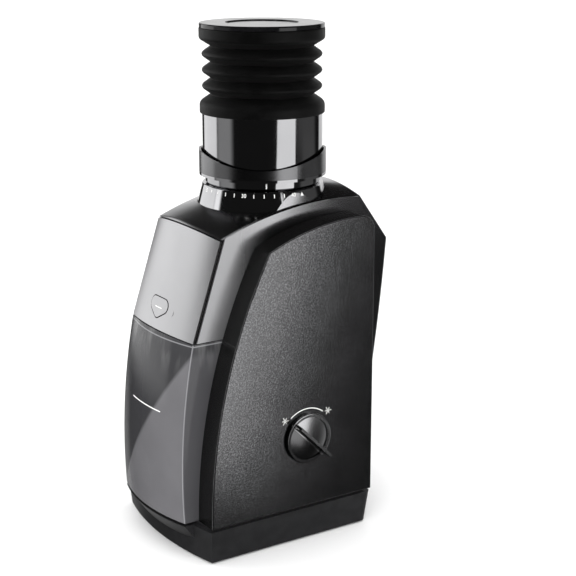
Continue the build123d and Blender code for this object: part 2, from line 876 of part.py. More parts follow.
def cluster_gear():
    """First-stage wheel and second-stage pinion in one piece, turning on the cluster pin."""
    first, second = mesh_angles()
    gap_at = first + 180 + 180 / first_wheel_teeth
    body = gear(
        first_module, first_wheel_teeth, -first_shift, first_z, first_face, cluster_x, cluster_y, gap_at
    )
    height = second_z + second_face - first_z - first_face
    body += gear(
        second_module,
        second_pinion_teeth,
        second_shift,
        first_z + first_face,
        height,
        cluster_x,
        cluster_y,
        second,
    )
    return body - rod(cluster_pin_r + running, first_z - over, roof_z, cluster_x, cluster_y)


def cluster_pin():
    """Fixed pin that the cluster gear turns on, with a spacer below the gear."""
    pin = rod(cluster_pin_r, gearbox_z, roof_z + gearbox_roof / 2, cluster_x, cluster_y)
    floor = gearbox_z + gearbox_floor
    return pin + rod(2 * cluster_pin_r, floor, first_z - clear, cluster_x, cluster_y)


def drive_gear():
    """Second-stage wheel with a thin web, on the burr shaft."""
    _, second = mesh_angles()
    gap_at = second + 180 + 180 / second_wheel_teeth
    body = gear(second_module, second_wheel_teeth, -second_shift, second_z, second_face, 0, 0, gap_at)
    rim_r = second_wheel_r - (1 + dedendum) * second_module - wheel_rim
    recess = (second_face - wheel_web) / 2
    for z in (second_z, second_z + second_face - recess):
        body -= pipe(rim_r, 2 * drive_r, z, z + recess)
    return body - rod(drive_r, second_z, second_z + second_face)


def drive_shaft():
    """Burr shaft from the lower bearing up through the cone burr."""
    return rod(drive_r, gearbox_z + bearing_floor + clear, cone_z + cone_height + nut_height - nut_cap)


def drive_bearings():
    """Lower and upper bearings of the burr shaft."""
    seat = gearbox_z + bearing_floor
    low = pipe(bearing_r, drive_r + running, seat, seat + bearing_height)
    high = pipe(bearing_r, drive_r + running, chamber_z, chamber_z + bearing_height)
    return group([low, high])


def motor_can():
    """Drawn motor can with a closed top that bolts up to the gearbox."""
    low = gearbox_z - motor_length
    body = rod(motor_r, low, gearbox_z, 0, motor_y)
    body -= rod(motor_r - motor_can_wall, low - over, gearbox_z - motor_can_wall, 0, motor_y)
    body -= rod(motor_shaft_r + running, low, gearbox_z + over, 0, motor_y)
    for x, y in motor_screw_places():
        body -= rod(screw_r + snug, gearbox_z - motor_screw_length, gearbox_z + over, x, y)
    return body


def motor_screws():
    """Two screws from inside the gearbox down into the motor's top."""
    floor = gearbox_z + gearbox_floor
    return group([screw_down(floor, motor_screw_length, x, y) for x, y in motor_screw_places()])


def motor_end_cap():
    """Moulded cap on the motor's lower end, with the lower bush."""
    low = gearbox_z - motor_length
    body = rod(motor_r, low - motor_cap_height / 2, low, 0, motor_y)
    body += rod(motor_cap_r, low - motor_cap_height, low, 0, motor_y)
    body += rod(motor_r - motor_can_wall - snug, low, low + motor_cap_spigot, 0, motor_y)
    seat = low - motor_cap_height + motor_cap_floor
    return body - rod(motor_shaft_r + running, seat, low + motor_cap_spigot + over, 0, motor_y)


def motor_magnets():
    """Two curved magnets inside the can."""
    middle = gearbox_z - motor_length / 2
    out = motor_r - motor_can_wall
    ring = pipe(out, out - magnet_thick, middle - magnet_length / 2, middle + magnet_length / 2, 0, motor_y)
    half = radians((180 - magnet_sweep) / 2)
    reach = 2 * motor_r
    wedge = make_face(Polyline((0, 0), (reach, -reach * tan(half)), (reach, reach * tan(half)), close=True))
    low = middle - magnet_length
    for turn in (90, 270):
        ring -= Pos(0, motor_y, low) * Rot(0, 0, turn) * extrude(wedge, 2 * magnet_length)
    return group(ring.solids())


def motor_rotor():
    """Motor shaft with its wound core and commutator."""
    low = gearbox_z - motor_length
    middle = low + motor_length / 2
    seat = low - motor_cap_height + motor_cap_floor
    body = rod(motor_shaft_r, seat + clear, first_z + first_face, 0, motor_y)
    body += rod(rotor_r, middle - rotor_length / 2, middle + rotor_length / 2, 0, motor_y)
    return body + rod(commutator_r, low + commutator_rise, middle, 0, motor_y)


def burr_chamber():
    """Round chamber with the upper bearing's seat in its floor and an outlet in front."""
    body = rod(chamber_r, chamber_z, chamber_top)
    body += rod(collar_sleeve_r, chamber_top - chamber_rim, chamber_top)
    body -= rod(chamber_r - chamber_wall, floor_z, chamber_top + over)
    body -= rod(bearing_r + press, chamber_z - over, chamber_z + bearing_height)
    body -= rod(drive_r + clear, chamber_z, floor_z + over)
    seat = floor_z - sunk_head
    for x, y in chamber_screw_places():
        body -= rod(screw_r + snug, chamber_z - over, floor_z + over, x, y)
        body -= rod(screw_head_r + snug, seat, floor_z + over, x, y)
    half = outlet_width / 2
    return body - block(-half, half, -2 * chamber_r, -chamber_r / 2, floor_z, floor_z + outlet_height)


def chamber_screws():
    """Screws that hold the chamber to the gearbox cover."""
    seat = floor_z - sunk_head
    return group([screw_down(seat, seat - roof_z - clear, x, y) for x, y in chamber_screw_places()])


def chute():
    """Square duct from the chamber's outlet down through the frame's ceiling."""
    wall = chute_wall
    top = floor_z + outlet_height
    rear = 2 * chamber_wall - chamber_r
    shelf = -chamber_r - chute_shelf
    front = chute_drop_y - chute_depth
    knee = frame_z + chute_knee_share * (top - frame_z)
    mouth = frame_z - over
    outer = Polyline(
        (rear, top + wall),
        (shelf, top + wall),
        (front, knee + wall),
        (front, frame_z),
        (chute_drop_y, frame_z),
        (chute_drop_y, knee - wall),
        (rear, floor_z - wall),
        close=True,
    )
    inner = Polyline(
        (rear + over, top),
        (shelf - wall / 2, top),
        (front + wall, knee),
        (front + wall, mouth),
        (chute_drop_y - wall, mouth),
        (chute_drop_y - wall, knee),
        (rear, floor_z),
        (rear + over, floor_z),
        close=True,
    )
    half = chute_half
    body = extrude(Plane.YZ.offset(-half) * make_face(outer), 2 * half)
    body -= extrude(Plane.YZ.offset(wall - half) * make_face(inner), 2 * (half - wall))
    return body - rod(chamber_r, chamber_z, chamber_top)


def star(teeth, tip_r, root_r, z, turn):
    """Pointed star outline with the given number of teeth, at height z, turned by turn degrees."""
    points = []
    for i in range(2 * teeth):
        r = root_r if i % 2 else tip_r
        a = radians(turn) + pi * i / teeth
        points.append((r * cos(a), r * sin(a)))
    return Pos(0, 0, z) * make_face(Polyline(*points, close=True))


def cone_burr():
    """Cone burr: a band of fine cutting teeth under a twisted feed screw."""
    waist = cone_z + cone_base_height
    top = cone_z + cone_height
    body = loft(
        [
            star(cone_teeth, cone_r, cone_r - tooth_depth, cone_z, 0),
            star(cone_teeth, cone_waist_r, cone_waist_r - tooth_depth, waist, cone_twist),
        ],
        ruled=True,
    )
    turns = [star(feed_teeth, cone_waist_r - tooth_depth, feed_foot_root_r, waist, 0)]
    turns.append(star(feed_teeth, cone_tip_r, feed_tip_root_r, top, feed_twist))
    body += loft(turns, ruled=True)
    return body - rod(drive_r, cone_z - over, top + over)


def grounds_wiper():
    """Disc under the cone burr whose blades sweep grounds to the outlet."""
    body = rod(wiper_hub_r, wiper_z, wiper_z + wiper_height)
    half = blade_thick / 2
    blade = block(0, wiper_r, -half, half, wiper_z, wiper_z + blade_height)
    for i in range(wiper_blades):
        body += Rot(0, 0, blade_turn + 360 / wiper_blades * i) * blade
    return body - rod(drive_r, wiper_z - over, wiper_z + wiper_height + over)


def burr_nut():
    """Six-sided nut that clamps the cone burr."""
    low = cone_z + cone_height
    body = extrude(Pos(0, 0, low) * RegularPolygon(nut_r, 6), nut_height)
    return body - rod(drive_r, low - over, low + nut_height - nut_cap)


def ring_burr():
    """Fixed outer burr with cutting teeth inside, wider at its lower end."""
    low = cone_z + ring_lift
    top = low + ring_height
    cut = loft(
        [
            star(ring_teeth, ring_exit_r + tooth_depth, ring_exit_r, low, 0),
            star(ring_teeth, ring_throat_r + tooth_depth, ring_throat_r, top, -cone_twist),
        ],
        ruled=True,
    )
    return rod(ring_r, low, top) - cut


def ring_burr_holder():
    """Moulded carrier round the ring burr, keyed in the chamber."""
    out = chamber_r - chamber_wall - clear - snug
    shelf = holder_top - holder_flange
    body = pipe(out, ring_r, shelf, holder_top)
    return body + pipe(ring_r + holder_wall, ring_r, holder_top - holder_height, shelf)


def burr_seal():
    """Soft ring on the holder, under the adjusting ring."""
    inner = ring_r + seal_inset
    return pipe(inner + seal_width, inner, holder_top, holder_top + seal_thick)


def scale_collar():
    """Collar that carries the grind scale: a sleeve, and a cone trimmed to the housing's top."""
    low = chamber_top + collar_cone_z
    cone = turned([(0, low), (collar_foot_r, low), (collar_rim_r, collar_top), (0, collar_top)])
    cone = fillet(cone.edges().sort_by(Axis.Z)[-1], collar_round)
    cone &= collar_flats(0)
    cone -= Pos(0, 0, -spine_wall) * spine()
    body = rod(collar_sleeve_r, chamber_top, collar_top - collar_round) + cone
    return body - rod(collar_bore_r, chamber_top - over, collar_top + over)


def adjusting_ring():
    """Threaded ring inside the collar that the hopper turns and that sets the ring burr's height."""
    body = pipe(adjust_out_r, adjust_bore_r, adjust_z, adjust_z + adjust_height)
    body += pipe(adjust_out_r, adjust_bore_r - adjust_lip, adjust_z, adjust_z + adjust_tab_height)
    half = slot_width / 2
    top = adjust_z + adjust_height
    reach = 2 * adjust_out_r
    slot = block(-reach, reach, -half, half, top - slot_depth, top + over)
    for turn in (0, 90):
        body -= Rot(0, 0, turn + scoop_azimuth) * slot
    return body


def hopper_adapter():
    """Neck and flange of the hopper, with a spigot whose funnel leads to the burrs."""
    spigot_r = adjust_bore_r - clear
    low = adjust_z + adjust_tab_height + clear
    return turned(
        [
            (throat_r, low),
            (spigot_r, low),
            (spigot_r, neck_z),
            (neck_r - neck_chamfer, neck_z),
            (neck_r, neck_z + neck_chamfer),
            (neck_r, flange_z),
            (ring_out_r, flange_z),
            (ring_out_r, tube_z),
            (tube_r - tube_wall, tube_z),
            (tube_r - tube_wall - neck_chamfer, tube_z - neck_chamfer),
            (throat_r, low + throat_height),
        ]
    )


def hopper_ring():
    """Band round the foot of the tube, with two wide finger scoops in its rim."""
    body = pipe(ring_out_r, ring_out_r - ring_band, tube_z, tube_z + ring_band_height)
    arch = (ring_out_r**2 + scoop_depth**2) / (2 * scoop_depth)
    axis_z = tube_z + ring_band_height - scoop_depth + arch
    scoop = Rot(0, 0, scoop_azimuth) * Pos(0, 0, axis_z) * Rot(90, 0, 0) * Cylinder(arch, 4 * ring_out_r)
    return body - scoop


def hopper_tube():
    """Thin metal tube that holds one dose of beans."""
    return pipe(tube_r, tube_r - tube_wall, tube_z, tube_top)


def rings(stations):
    """Ruled loft through circles given as (radius, height)."""
    return loft([Pos(0, 0, z) * Circle(r) for r, z in stations], ruled=True)


def rib_stations(inset):
    """Circles of the bellows' ribs: four to a rib, up from the lower cuff."""
    stations = []
    for i in range(rib_count):
        middle = ribs_z + rib_pitch * (i + 0.5)
        stations.append((groove_r - inset, middle - rib_flat - rib_slope))
        stations.append((rib_r - inset, middle - rib_flat))
        stations.append((rib_r - inset, middle + rib_flat))
        stations.append((groove_r - inset, middle + rib_flat + rib_slope))
    return stations


def bellows():
    """Silicone bellows: a cuff over the tube, three ribs and a top cuff, all one skin."""
    outer = [
        (cuff_r - cuff_ease, cuff_z),
        (cuff_r, cuff_z + cuff_foot),
        (cuff_r, tube_top),
        (groove_r, ribs_z),
        *rib_stations(0),
        (groove_r, cap_z),
        (cuff_r, cap_z + cap_slope),
        (cuff_r, bellows_top - cuff_ease),
        (cuff_r - cuff_ease, bellows_top),
    ]
    inner = [
        (groove_r - skin, tube_top + clear),
        (groove_r - skin, ribs_z),
        *rib_stations(skin),
        (groove_r - skin, cap_z),
        (groove_r - skin, bellows_top),
    ]
    return rings(outer) - rings(inner) - rod(tube_r + clear, cuff_z, tube_top + clear)


def lid():
    """Lid of the bellows, with a shallow round recess on top and a plug below."""
    top = lid_z + lid_thick
    body = rod(lid_r, lid_z, top)
    rim = body.edges().filter_by(GeomType.CIRCLE).sort_by(Axis.Z)[-1]
    body = fillet(rim, lid_round)
    body -= rod(lid_recess_r, top - lid_recess, top + over)
    return body + rod(groove_r - skin - clear, lid_z - lid_plug_depth, lid_z)


def knob_plane(height):
    """Plane across the knob's axis, height outside the knob's foot, looking out."""
    return Plane(origin=(knob_foot + height, knob_y, knob_z), x_dir=(0, 1, 0), z_dir=(1, 0, 0))


def power_knob():
    """Low round knob with a domed face inside its rim and a tall thin fin that points at the setting."""
    body = extrude(knob_plane(0) * Circle(knob_r), knob_skirt)
    body = fillet(body.edges().group_by(Axis.X)[-1], knob_round)
    seat = knob_skirt - knob_sink
    ball_r = (knob_face_r**2 + knob_dome**2) / (2 * knob_dome)
    face = extrude(knob_plane(seat) * Circle(knob_face_r), knob_sink + knob_dome)
    body -= face
    body += face & knob_plane(seat + knob_dome - ball_r) * Sphere(ball_r)
    turn = Rot(0, 0, fin_angle)
    foot = knob_plane(seat) * turn * Rectangle(2 * knob_r, fin_foot)
    tip = knob_plane(fin_height) * turn * Rectangle(2 * knob_r, fin_top)
    body += loft([foot, tip], ruled=True) & extrude(knob_plane(0) * Circle(knob_r - fin_inset), fin_height)
    hub = cheek_wall + knob_standoff - clear
    body += extrude(knob_plane(-hub) * Circle(knob_hub_r), hub)
    return body - extrude(knob_plane(-hub) * Circle(spindle_r), hub + spindle_seat)


def switch_depth():
    """Depth of the power switch, which fills the room between frame and cheek."""
    return cheek_inside - plate_x - clear


def knob_spindle():
    """Spindle from the rotary switch out through the cheek into the knob's hub."""
    start = cheek_inside - switch_depth() + spindle_tail
    plane = Plane.YZ.offset(start) * Pos(knob_y, knob_z)
    return extrude(plane * Circle(spindle_r), knob_foot + spindle_seat - start)


def rotary_switch():
    """Power switch on the inside of the right cheek."""
    plane = Plane.YZ.offset(cheek_inside - switch_depth())
    body = extrude(plane * Pos(knob_y, knob_z) * Rectangle(switch_size, switch_size), switch_depth())
    hole = plane.offset(spindle_tail - clear) * Pos(knob_y, knob_z) * Circle(spindle_r + running)
    return body - extrude(hole, switch_depth())


def circuit_board():
    """Control board on the left side plate, with a coil core, a heat sink and two capacitors."""
    face = -plate_x
    out = face - board_thick
    y0 = frame_rear_y - board_width - board_edge
    z0 = body_z + board_rise
    body = block(out, face, y0, y0 + board_width, z0, z0 + board_height)
    core_y = y0 + board_edge
    core_z = z0 + board_edge
    body += block(out - core_depth, out, core_y, core_y + core_size, core_z, core_z + core_size)
    sink_y = core_y + core_size + board_edge
    body += block(out - sink_depth, out, sink_y, sink_y + sink_width, core_z, core_z + sink_thick)
    for i in (1, 2):
        place = Pos(core_y + capacitor_r, core_z + core_size + capacitor_pitch * i)
        can = Plane.YZ.offset(out - sink_depth) * place * Circle(capacitor_r)
        body += extrude(can, sink_depth)
    return body


NODES = {
    "base_tray": base_tray,
    "foot_ring": foot_ring,
    "base_screws": base_screws,
    "cord_gland": cord_gland,
    "inner_frame": inner_frame,
    "main_housing": main_housing,
    "left_cheek": left_cheek,
    "right_cheek": right_cheek,
    "front_panel": front_panel,
    "pulse_button": pulse_button,
    "pulse_switch": pulse_switch,
    "grounds_bin": grounds_bin,
    "gearbox_base": gearbox_base,
    "gearbox_cover": gearbox_cover,
    "gearbox_screws": gearbox_screws,
    "cluster_pin": cluster_pin,
    "cluster_gear": cluster_gear,
    "drive_gear": drive_gear,
    "drive_shaft": drive_shaft,
    "drive_bearings": drive_bearings,
    "motor_can": motor_can,
    "motor_end_cap": motor_end_cap,
    "motor_magnets": motor_magnets,
    "motor_screws": motor_screws,
    "motor_rotor": motor_rotor,
    "motor_pinion": motor_pinion,
    "burr_chamber": burr_chamber,
    "chamber_screws": chamber_screws,
    "chute": chute,
    "grounds_wiper": grounds_wiper,
    "cone_burr": cone_burr,
    "burr_nut": burr_nut,
    "ring_burr": ring_burr,
    "ring_burr_holder": ring_burr_holder,
    "burr_seal": burr_seal,
    "scale_collar": scale_collar,
    "adjusting_ring": adjusting_ring,
    "hopper_adapter": hopper_adapter,
    "hopper_ring": hopper_ring,
    "hopper_tube": hopper_tube,
    "bellows": bellows,
    "lid": lid,
    "power_knob": power_knob,
    "knob_spindle": knob_spindle,
    "rotary_switch": rotary_switch,
    "circuit_board": circuit_board,
}

os.makedirs("parts", exist_ok=True)
for name, make in NODES.items():
    export_step(make(), f"parts/{name}.step")
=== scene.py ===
# %% [markdown]
# # A burr coffee grinder, dressed for its portrait
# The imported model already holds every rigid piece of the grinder: housing, cheeks, bin, gears, burrs and
# hopper. This lesson lights those pieces, gives each one a finish, and adds what a solid model leaves out:
# the silicone bellows with its rounded ribs, and the printed marks. Lengths are in metres, in the model's
# own frame: the burr axis is Z, the floor is Z = 0, the front looks along -Y and the power knob is at +X.

from math import degrees, radians

import bpy
import numpy as np
from mathutils import Matrix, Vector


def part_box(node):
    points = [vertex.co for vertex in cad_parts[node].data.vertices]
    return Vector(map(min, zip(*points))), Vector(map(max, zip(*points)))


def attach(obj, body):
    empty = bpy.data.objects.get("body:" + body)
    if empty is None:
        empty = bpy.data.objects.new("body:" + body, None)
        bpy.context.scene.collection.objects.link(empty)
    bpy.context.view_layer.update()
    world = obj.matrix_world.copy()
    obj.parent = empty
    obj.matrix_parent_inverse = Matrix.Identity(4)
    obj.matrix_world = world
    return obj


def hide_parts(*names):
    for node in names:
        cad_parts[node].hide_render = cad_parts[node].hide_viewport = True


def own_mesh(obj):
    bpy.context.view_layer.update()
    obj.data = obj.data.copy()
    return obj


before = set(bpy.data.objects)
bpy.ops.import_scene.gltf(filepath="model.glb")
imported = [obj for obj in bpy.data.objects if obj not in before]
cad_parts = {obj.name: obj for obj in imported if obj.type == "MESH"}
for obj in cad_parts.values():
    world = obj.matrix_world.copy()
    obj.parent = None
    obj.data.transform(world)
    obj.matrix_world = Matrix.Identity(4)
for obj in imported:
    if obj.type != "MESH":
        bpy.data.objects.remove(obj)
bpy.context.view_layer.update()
MM = 0.001

# %% [markdown]
# ## Camera
# The photograph was taken from the right of the front and a little above, with a long lens. A camera's place
# can be guessed by eye, but here it was solved from the edges of the base and the rings of the hopper, so it
# is written as an azimuth, a distance, a height and a tilt.

# %% Camera
AZIMUTH = radians(58.134)
HEADING = radians(57.06)
TILT_DOWN = radians(15.316)
DISTANCE = 0.89827
EYE_HEIGHT = 0.40748
SENSOR_WIDTH, FOCAL_LENGTH = 36, 85.73
lens = bpy.data.cameras.new("portrait_lens")
lens.sensor_width = SENSOR_WIDTH
lens.lens = FOCAL_LENGTH
camera = bpy.data.objects.new("portrait_camera", lens)
camera.location = (np.sin(AZIMUTH) * DISTANCE, -np.cos(AZIMUTH) * DISTANCE, EYE_HEIGHT)
camera.rotation_euler = (radians(90) - TILT_DOWN, 0, HEADING)
bpy.context.collection.objects.link(camera)
bpy.context.scene.camera = camera
bpy.context.scene.view_settings.view_transform = "Standard"
print("camera at", tuple(round(v, 3) for v in camera.location))

# %% [markdown]
# ## Studio
# Dark glossy things show their surroundings more than their own colour, so a product studio is mostly a
# plan of what they reflect. It could be built from lamps and cards. Here most of it is drawn in the world's
# shader, as windows in azimuth and elevation with soft edges, because a window moves by changing one
# number. A tall box stands on the left in two parts, a narrow bright one nearer the front with a weak fill
# below it, and a pale backdrop on the left behind the grinder. Three faint fills, low down and behind, keep
# the far sides from going black, and the rest is dim. What the camera itself sees behind the floor is plain
# white.

# %% Node helpers
def node(tree, kind, **values):
    """Add a node; values set its sockets, or its own settings where no socket has that name."""
    made = tree.nodes.new(kind)
    for key, value in values.items():
        if key in made.inputs:
            made.inputs[key].default_value = value
        else:
            setattr(made, key, value)
    return made


def maths(tree, operation, a, b=None):
    """One math node; a and b are sockets or plain numbers."""
    made = tree.nodes.new("ShaderNodeMath")
    made.operation = operation
    for slot, value in enumerate((a, b)):
        if value is None:
            continue
        if isinstance(value, (int, float)):
            made.inputs[slot].default_value = value
        else:
            tree.links.new(value, made.inputs[slot])
    return made.outputs[0]


def ease(tree, value, low, high, start=0.0, end=1.0):
    """Smooth step of value from start at low to end at high."""
    made = node(tree, "ShaderNodeMapRange", interpolation_type="SMOOTHSTEP")
    made.inputs["From Min"].default_value = low
    made.inputs["From Max"].default_value = high
    made.inputs["To Min"].default_value = start
    made.inputs["To Max"].default_value = end
    tree.links.new(value, made.inputs["Value"])
    return made.outputs["Result"]


def window(tree, value, low, high, edge):
    """One between low and high and zero outside, with both ends eased over edge."""
    rise = ease(tree, value, low - edge, low + edge)
    fall = ease(tree, value, high - edge, high + edge, 1.0, 0.0)
    return maths(tree, "MULTIPLY", rise, fall)


def axes_of(tree, vector):
    """The X, Y and Z sockets of a vector."""
    made = node(tree, "ShaderNodeSeparateXYZ")
    tree.links.new(vector, made.inputs[0])
    return made.outputs


def place_of(tree):
    """Object coordinates, which are the model's own metres."""
    return node(tree, "ShaderNodeTexCoord").outputs["Object"]


def shader_of(material):
    """A material's main shader."""
    return material.node_tree.nodes["Principled BSDF"]


# %% World
SOFT_BOXES = {
    "left_front": dict(azimuth=(-88, -39, 2.5), elevation=(-12, 9, 3), power=1.3),
    "left_high": dict(azimuth=(-90, -38, 4), elevation=(9, 30, 3), power=1.3),
    "front_high": dict(azimuth=(-38, -25, 3), elevation=(0, 30, 4), power=1.6),
    "front_fill": dict(azimuth=(-37, -2, 6), elevation=(-40, 2, 4), power=0.34),
    "rear_fill": dict(azimuth=(128, 176, 6), elevation=(-10, 20, 1), power=0.07),
    "rear_low": dict(azimuth=(140, 190, 5), elevation=(-60, -12, 4), power=0.3),
    "left_low": dict(azimuth=(-190, -86, 4), elevation=(-60, -14, 4), power=0.3),
    "backdrop": dict(azimuth=(-165, -105, 2.5), elevation=(-11, 17, 3), power=0.9),
}
WORLD_DIM = 0.012
TO_DEGREES = degrees(1)
world = bpy.data.worlds.new("studio")
bpy.context.scene.world = world
world.use_nodes = True
sky = world.node_tree
sky.nodes.clear()
view = axes_of(sky, node(sky, "ShaderNodeTexCoord").outputs["Generated"])
minus_y = maths(sky, "MULTIPLY", view["Y"], -1.0)
azimuth = maths(sky, "MULTIPLY", maths(sky, "ARCTAN2", view["X"], minus_y), TO_DEGREES)
elevation = maths(sky, "MULTIPLY", maths(sky, "ARCSINE", view["Z"]), TO_DEGREES)
glow = WORLD_DIM
for box in SOFT_BOXES.values():
    across = window(sky, azimuth, *box["azimuth"])
    up = window(sky, elevation, *box["elevation"])
    patch = maths(sky, "MULTIPLY", maths(sky, "MULTIPLY", across, up), box["power"])
    glow = maths(sky, "ADD", glow, patch)
seen = node(sky, "ShaderNodeLightPath").outputs["Is Camera Ray"]
mix = node(sky, "ShaderNodeMix", data_type="FLOAT", B=1.0)
sky.links.new(seen, mix.inputs["Factor"])
sky.links.new(glow, mix.inputs["A"])
back = node(sky, "ShaderNodeBackground", Color=(1, 1, 1, 1))
sky.links.new(mix.outputs["Result"], back.inputs["Strength"])
out = node(sky, "ShaderNodeOutputWorld")
sky.links.new(back.outputs[0], out.inputs["Surface"])
print("soft boxes:", ", ".join(SOFT_BOXES))

# %% [markdown]
# ## Overhead light and floor
# One very wide lamp overhead keeps the floor white and leaves only a soft dark seam of shadow round the
# base. A second one from the front brings up the printed marks. Both are left out of reflections. The tall
# soft box on the right is a real lamp close by, because a near box fades along a flat side where a far one
# can't. The floor is pale paper.

# %% Lamps
def wide_lamp(name, energy, spread_angle, tilt, heading):
    """Far lamp with a wide soft disc, tilted from straight overhead towards a heading."""
    lamp = bpy.data.lights.new(name, "SUN")
    lamp.energy = energy
    lamp.angle = radians(spread_angle)
    holder = bpy.data.objects.new(name, lamp)
    holder.rotation_euler = (radians(tilt), 0, radians(heading))
    holder.visible_glossy = False
    bpy.context.collection.objects.link(holder)
    return lamp


overhead = wide_lamp("overhead", energy=3.9, spread_angle=95, tilt=6, heading=20)
front_lamp = wide_lamp("front_lamp", energy=1.8, spread_angle=40, tilt=68, heading=50)

BOX_POWER = 0.74
BOX_REACH = 0.6
BOX_FROM, BOX_TO = radians(84), radians(122.3)
BOX_LEVEL = 0.148
BOX_LOW, BOX_HIGH = -0.12, 0.33
BOX_LEAN = radians(18)
box_aim = (BOX_FROM + BOX_TO) / 2
box_width = 2 * BOX_REACH * np.sin((BOX_TO - BOX_FROM) / 2)
box_away = BOX_REACH * np.cos((BOX_TO - BOX_FROM) / 2)
box_mid = (BOX_HIGH + BOX_LOW) / 2
box_slide = (box_mid - BOX_LEVEL) * np.tan(BOX_LEAN)
box_lamp = bpy.data.lights.new("right_box", "AREA")
box_lamp.shape = "RECTANGLE"
box_lamp.size = float(box_width * np.cos(BOX_LEAN))
box_lamp.size_y = float((BOX_HIGH - BOX_LOW) / np.cos(BOX_LEAN))
box_lamp.energy = BOX_POWER
box_holder = bpy.data.objects.new("right_box", box_lamp)
box_holder.location = (box_away * np.sin(box_aim) + box_slide * np.cos(box_aim),
                       -box_away * np.cos(box_aim) + box_slide * np.sin(box_aim), box_mid)
box_turn = Matrix.Rotation(box_aim, 3, "Z") @ Matrix.Rotation(radians(90), 3, "X")
box_holder.rotation_euler = (box_turn @ Matrix.Rotation(-BOX_LEAN, 3, "Z")).to_euler()
box_holder.visible_camera = False
bpy.context.collection.objects.link(box_holder)
print("lamps:", overhead.name, front_lamp.name, box_lamp.name)

# %% Floor
FLOOR_REACH = 6.0
floor_mesh = bpy.data.meshes.new("floor")
corners = [(-FLOOR_REACH, -FLOOR_REACH, 0), (FLOOR_REACH, -FLOOR_REACH, 0), (FLOOR_REACH, FLOOR_REACH, 0),
           (-FLOOR_REACH, FLOOR_REACH, 0)]
floor_mesh.from_pydata(corners, [], [(0, 1, 2, 3)])
floor = bpy.data.objects.new("floor", floor_mesh)
bpy.context.collection.objects.link(floor)
paper = bpy.data.materials.new("pale_paper")
paper.use_nodes = True
paper_shader = shader_of(paper)
paper_shader.inputs["Base Color"].default_value = (0.9, 0.9, 0.9, 1)
paper_shader.inputs["Roughness"].default_value = 0.9
floor_mesh.materials.append(paper)
floor.visible_glossy = False
floor.visible_shadow = False
print("floor reach:", FLOOR_REACH)

# %% [markdown]
# ## Finishes
# No moulded or machined surface is one flat colour. Its colour drifts a little, its gloss is uneven where
# it has been handled, and it carries the fine grain of the tool that shaped it. One helper gives every
# finish those three things from noise on Object coordinates, which here are the model's own metres, so a
# noise scale of 1000 has grains about a millimetre across. Stretching the coordinates turns grain into
# brushing.

# %% Finish helper
def noise(tree, place, scale, detail=2.0, stretch=None):
    """Noise value at the place, with its coordinates first stretched along each axis."""
    if stretch:
        mapping = node(tree, "ShaderNodeMapping", Scale=stretch)
        tree.links.new(place, mapping.inputs["Vector"])
        place = mapping.outputs[0]
    made = node(tree, "ShaderNodeTexNoise", Scale=scale, Detail=detail)
    tree.links.new(place, made.inputs["Vector"])
    return made.outputs["Fac"]


def tinted(tree, factor, low, high):
    """Colour that runs from low to high with the factor; each end is a colour or a socket."""
    made = node(tree, "ShaderNodeMix", data_type="RGBA")
    for end, colour in (("A", low), ("B", high)):
        if isinstance(colour, tuple):
            made.inputs[end].default_value = (*colour, 1)
        else:
            tree.links.new(colour, made.inputs[end])
    tree.links.new(factor, made.inputs["Factor"])
    return made.outputs["Result"]


def scaled(tree, colour, share):
    """Colour made lighter or darker by a share."""
    made = node(tree, "ShaderNodeVectorMath", operation="SCALE")
    tree.links.new(colour, made.inputs[0])
    tree.links.new(share, made.inputs["Scale"])
    return made.outputs[0]


def weighted(tree, first, second, shares):
    """Sum of two values, each times its share."""
    return maths(tree, "ADD", maths(tree, "MULTIPLY", first, shares[0]),
                 maths(tree, "MULTIPLY", second, shares[1]))


def fed_by(socket):
    """What feeds a socket now, so that a piece can add to it."""
    return socket.links[0].from_socket


CLOUD_LOW, CLOUD_HIGH = 0.3, 0.7
WEAR_SHARES = 0.6, 0.4
GRAIN_DEPTH = 0.1 * MM


def finish(name, colour, rough, drift=0.12, mottle=45.0, uneven=0.1, grain=0.1, grain_scale=1600.0,
           stretch=None, **sockets):
    """Surface whose colour drifts by a share, whose roughness varies and whose grain is a fine bump."""
    made = bpy.data.materials.new(name)
    made.use_nodes = True
    tree = made.node_tree
    shader = shader_of(made)
    place = place_of(tree)
    cloud = noise(tree, place, mottle, detail=4.0)
    low = tuple(c * (1 - drift) for c in colour)
    high = tuple(c * (1 + drift) for c in colour)
    drifting = tinted(tree, ease(tree, cloud, CLOUD_LOW, CLOUD_HIGH), low, high)
    tree.links.new(drifting, shader.inputs["Base Color"])
    speck = noise(tree, place, grain_scale, detail=3.0, stretch=stretch)
    worn = weighted(tree, cloud, speck, WEAR_SHARES)
    tree.links.new(ease(tree, worn, CLOUD_LOW, CLOUD_HIGH, rough * (1 - uneven), rough * (1 + uneven)),
                   shader.inputs["Roughness"])
    bump = node(tree, "ShaderNodeBump", Strength=grain, Distance=GRAIN_DEPTH)
    tree.links.new(speck, bump.inputs["Height"])
    tree.links.new(bump.outputs[0], shader.inputs["Normal"])
    for key, value in sockets.items():
        shader.inputs[key.replace("_", " ")].default_value = value
    return made


# %% [markdown]
# ### Cheeks
# The cheeks are moulded with a fine spark texture, which keeps finger marks from showing. Its grains could
# be a bump alone, but from a step away so fine a bump is lost, so the grains also speckle the colour. The
# narrow rim that faces the spine is plain black. It is told from the broad side by its distance from the
# middle plane, so both cheeks share one finish.

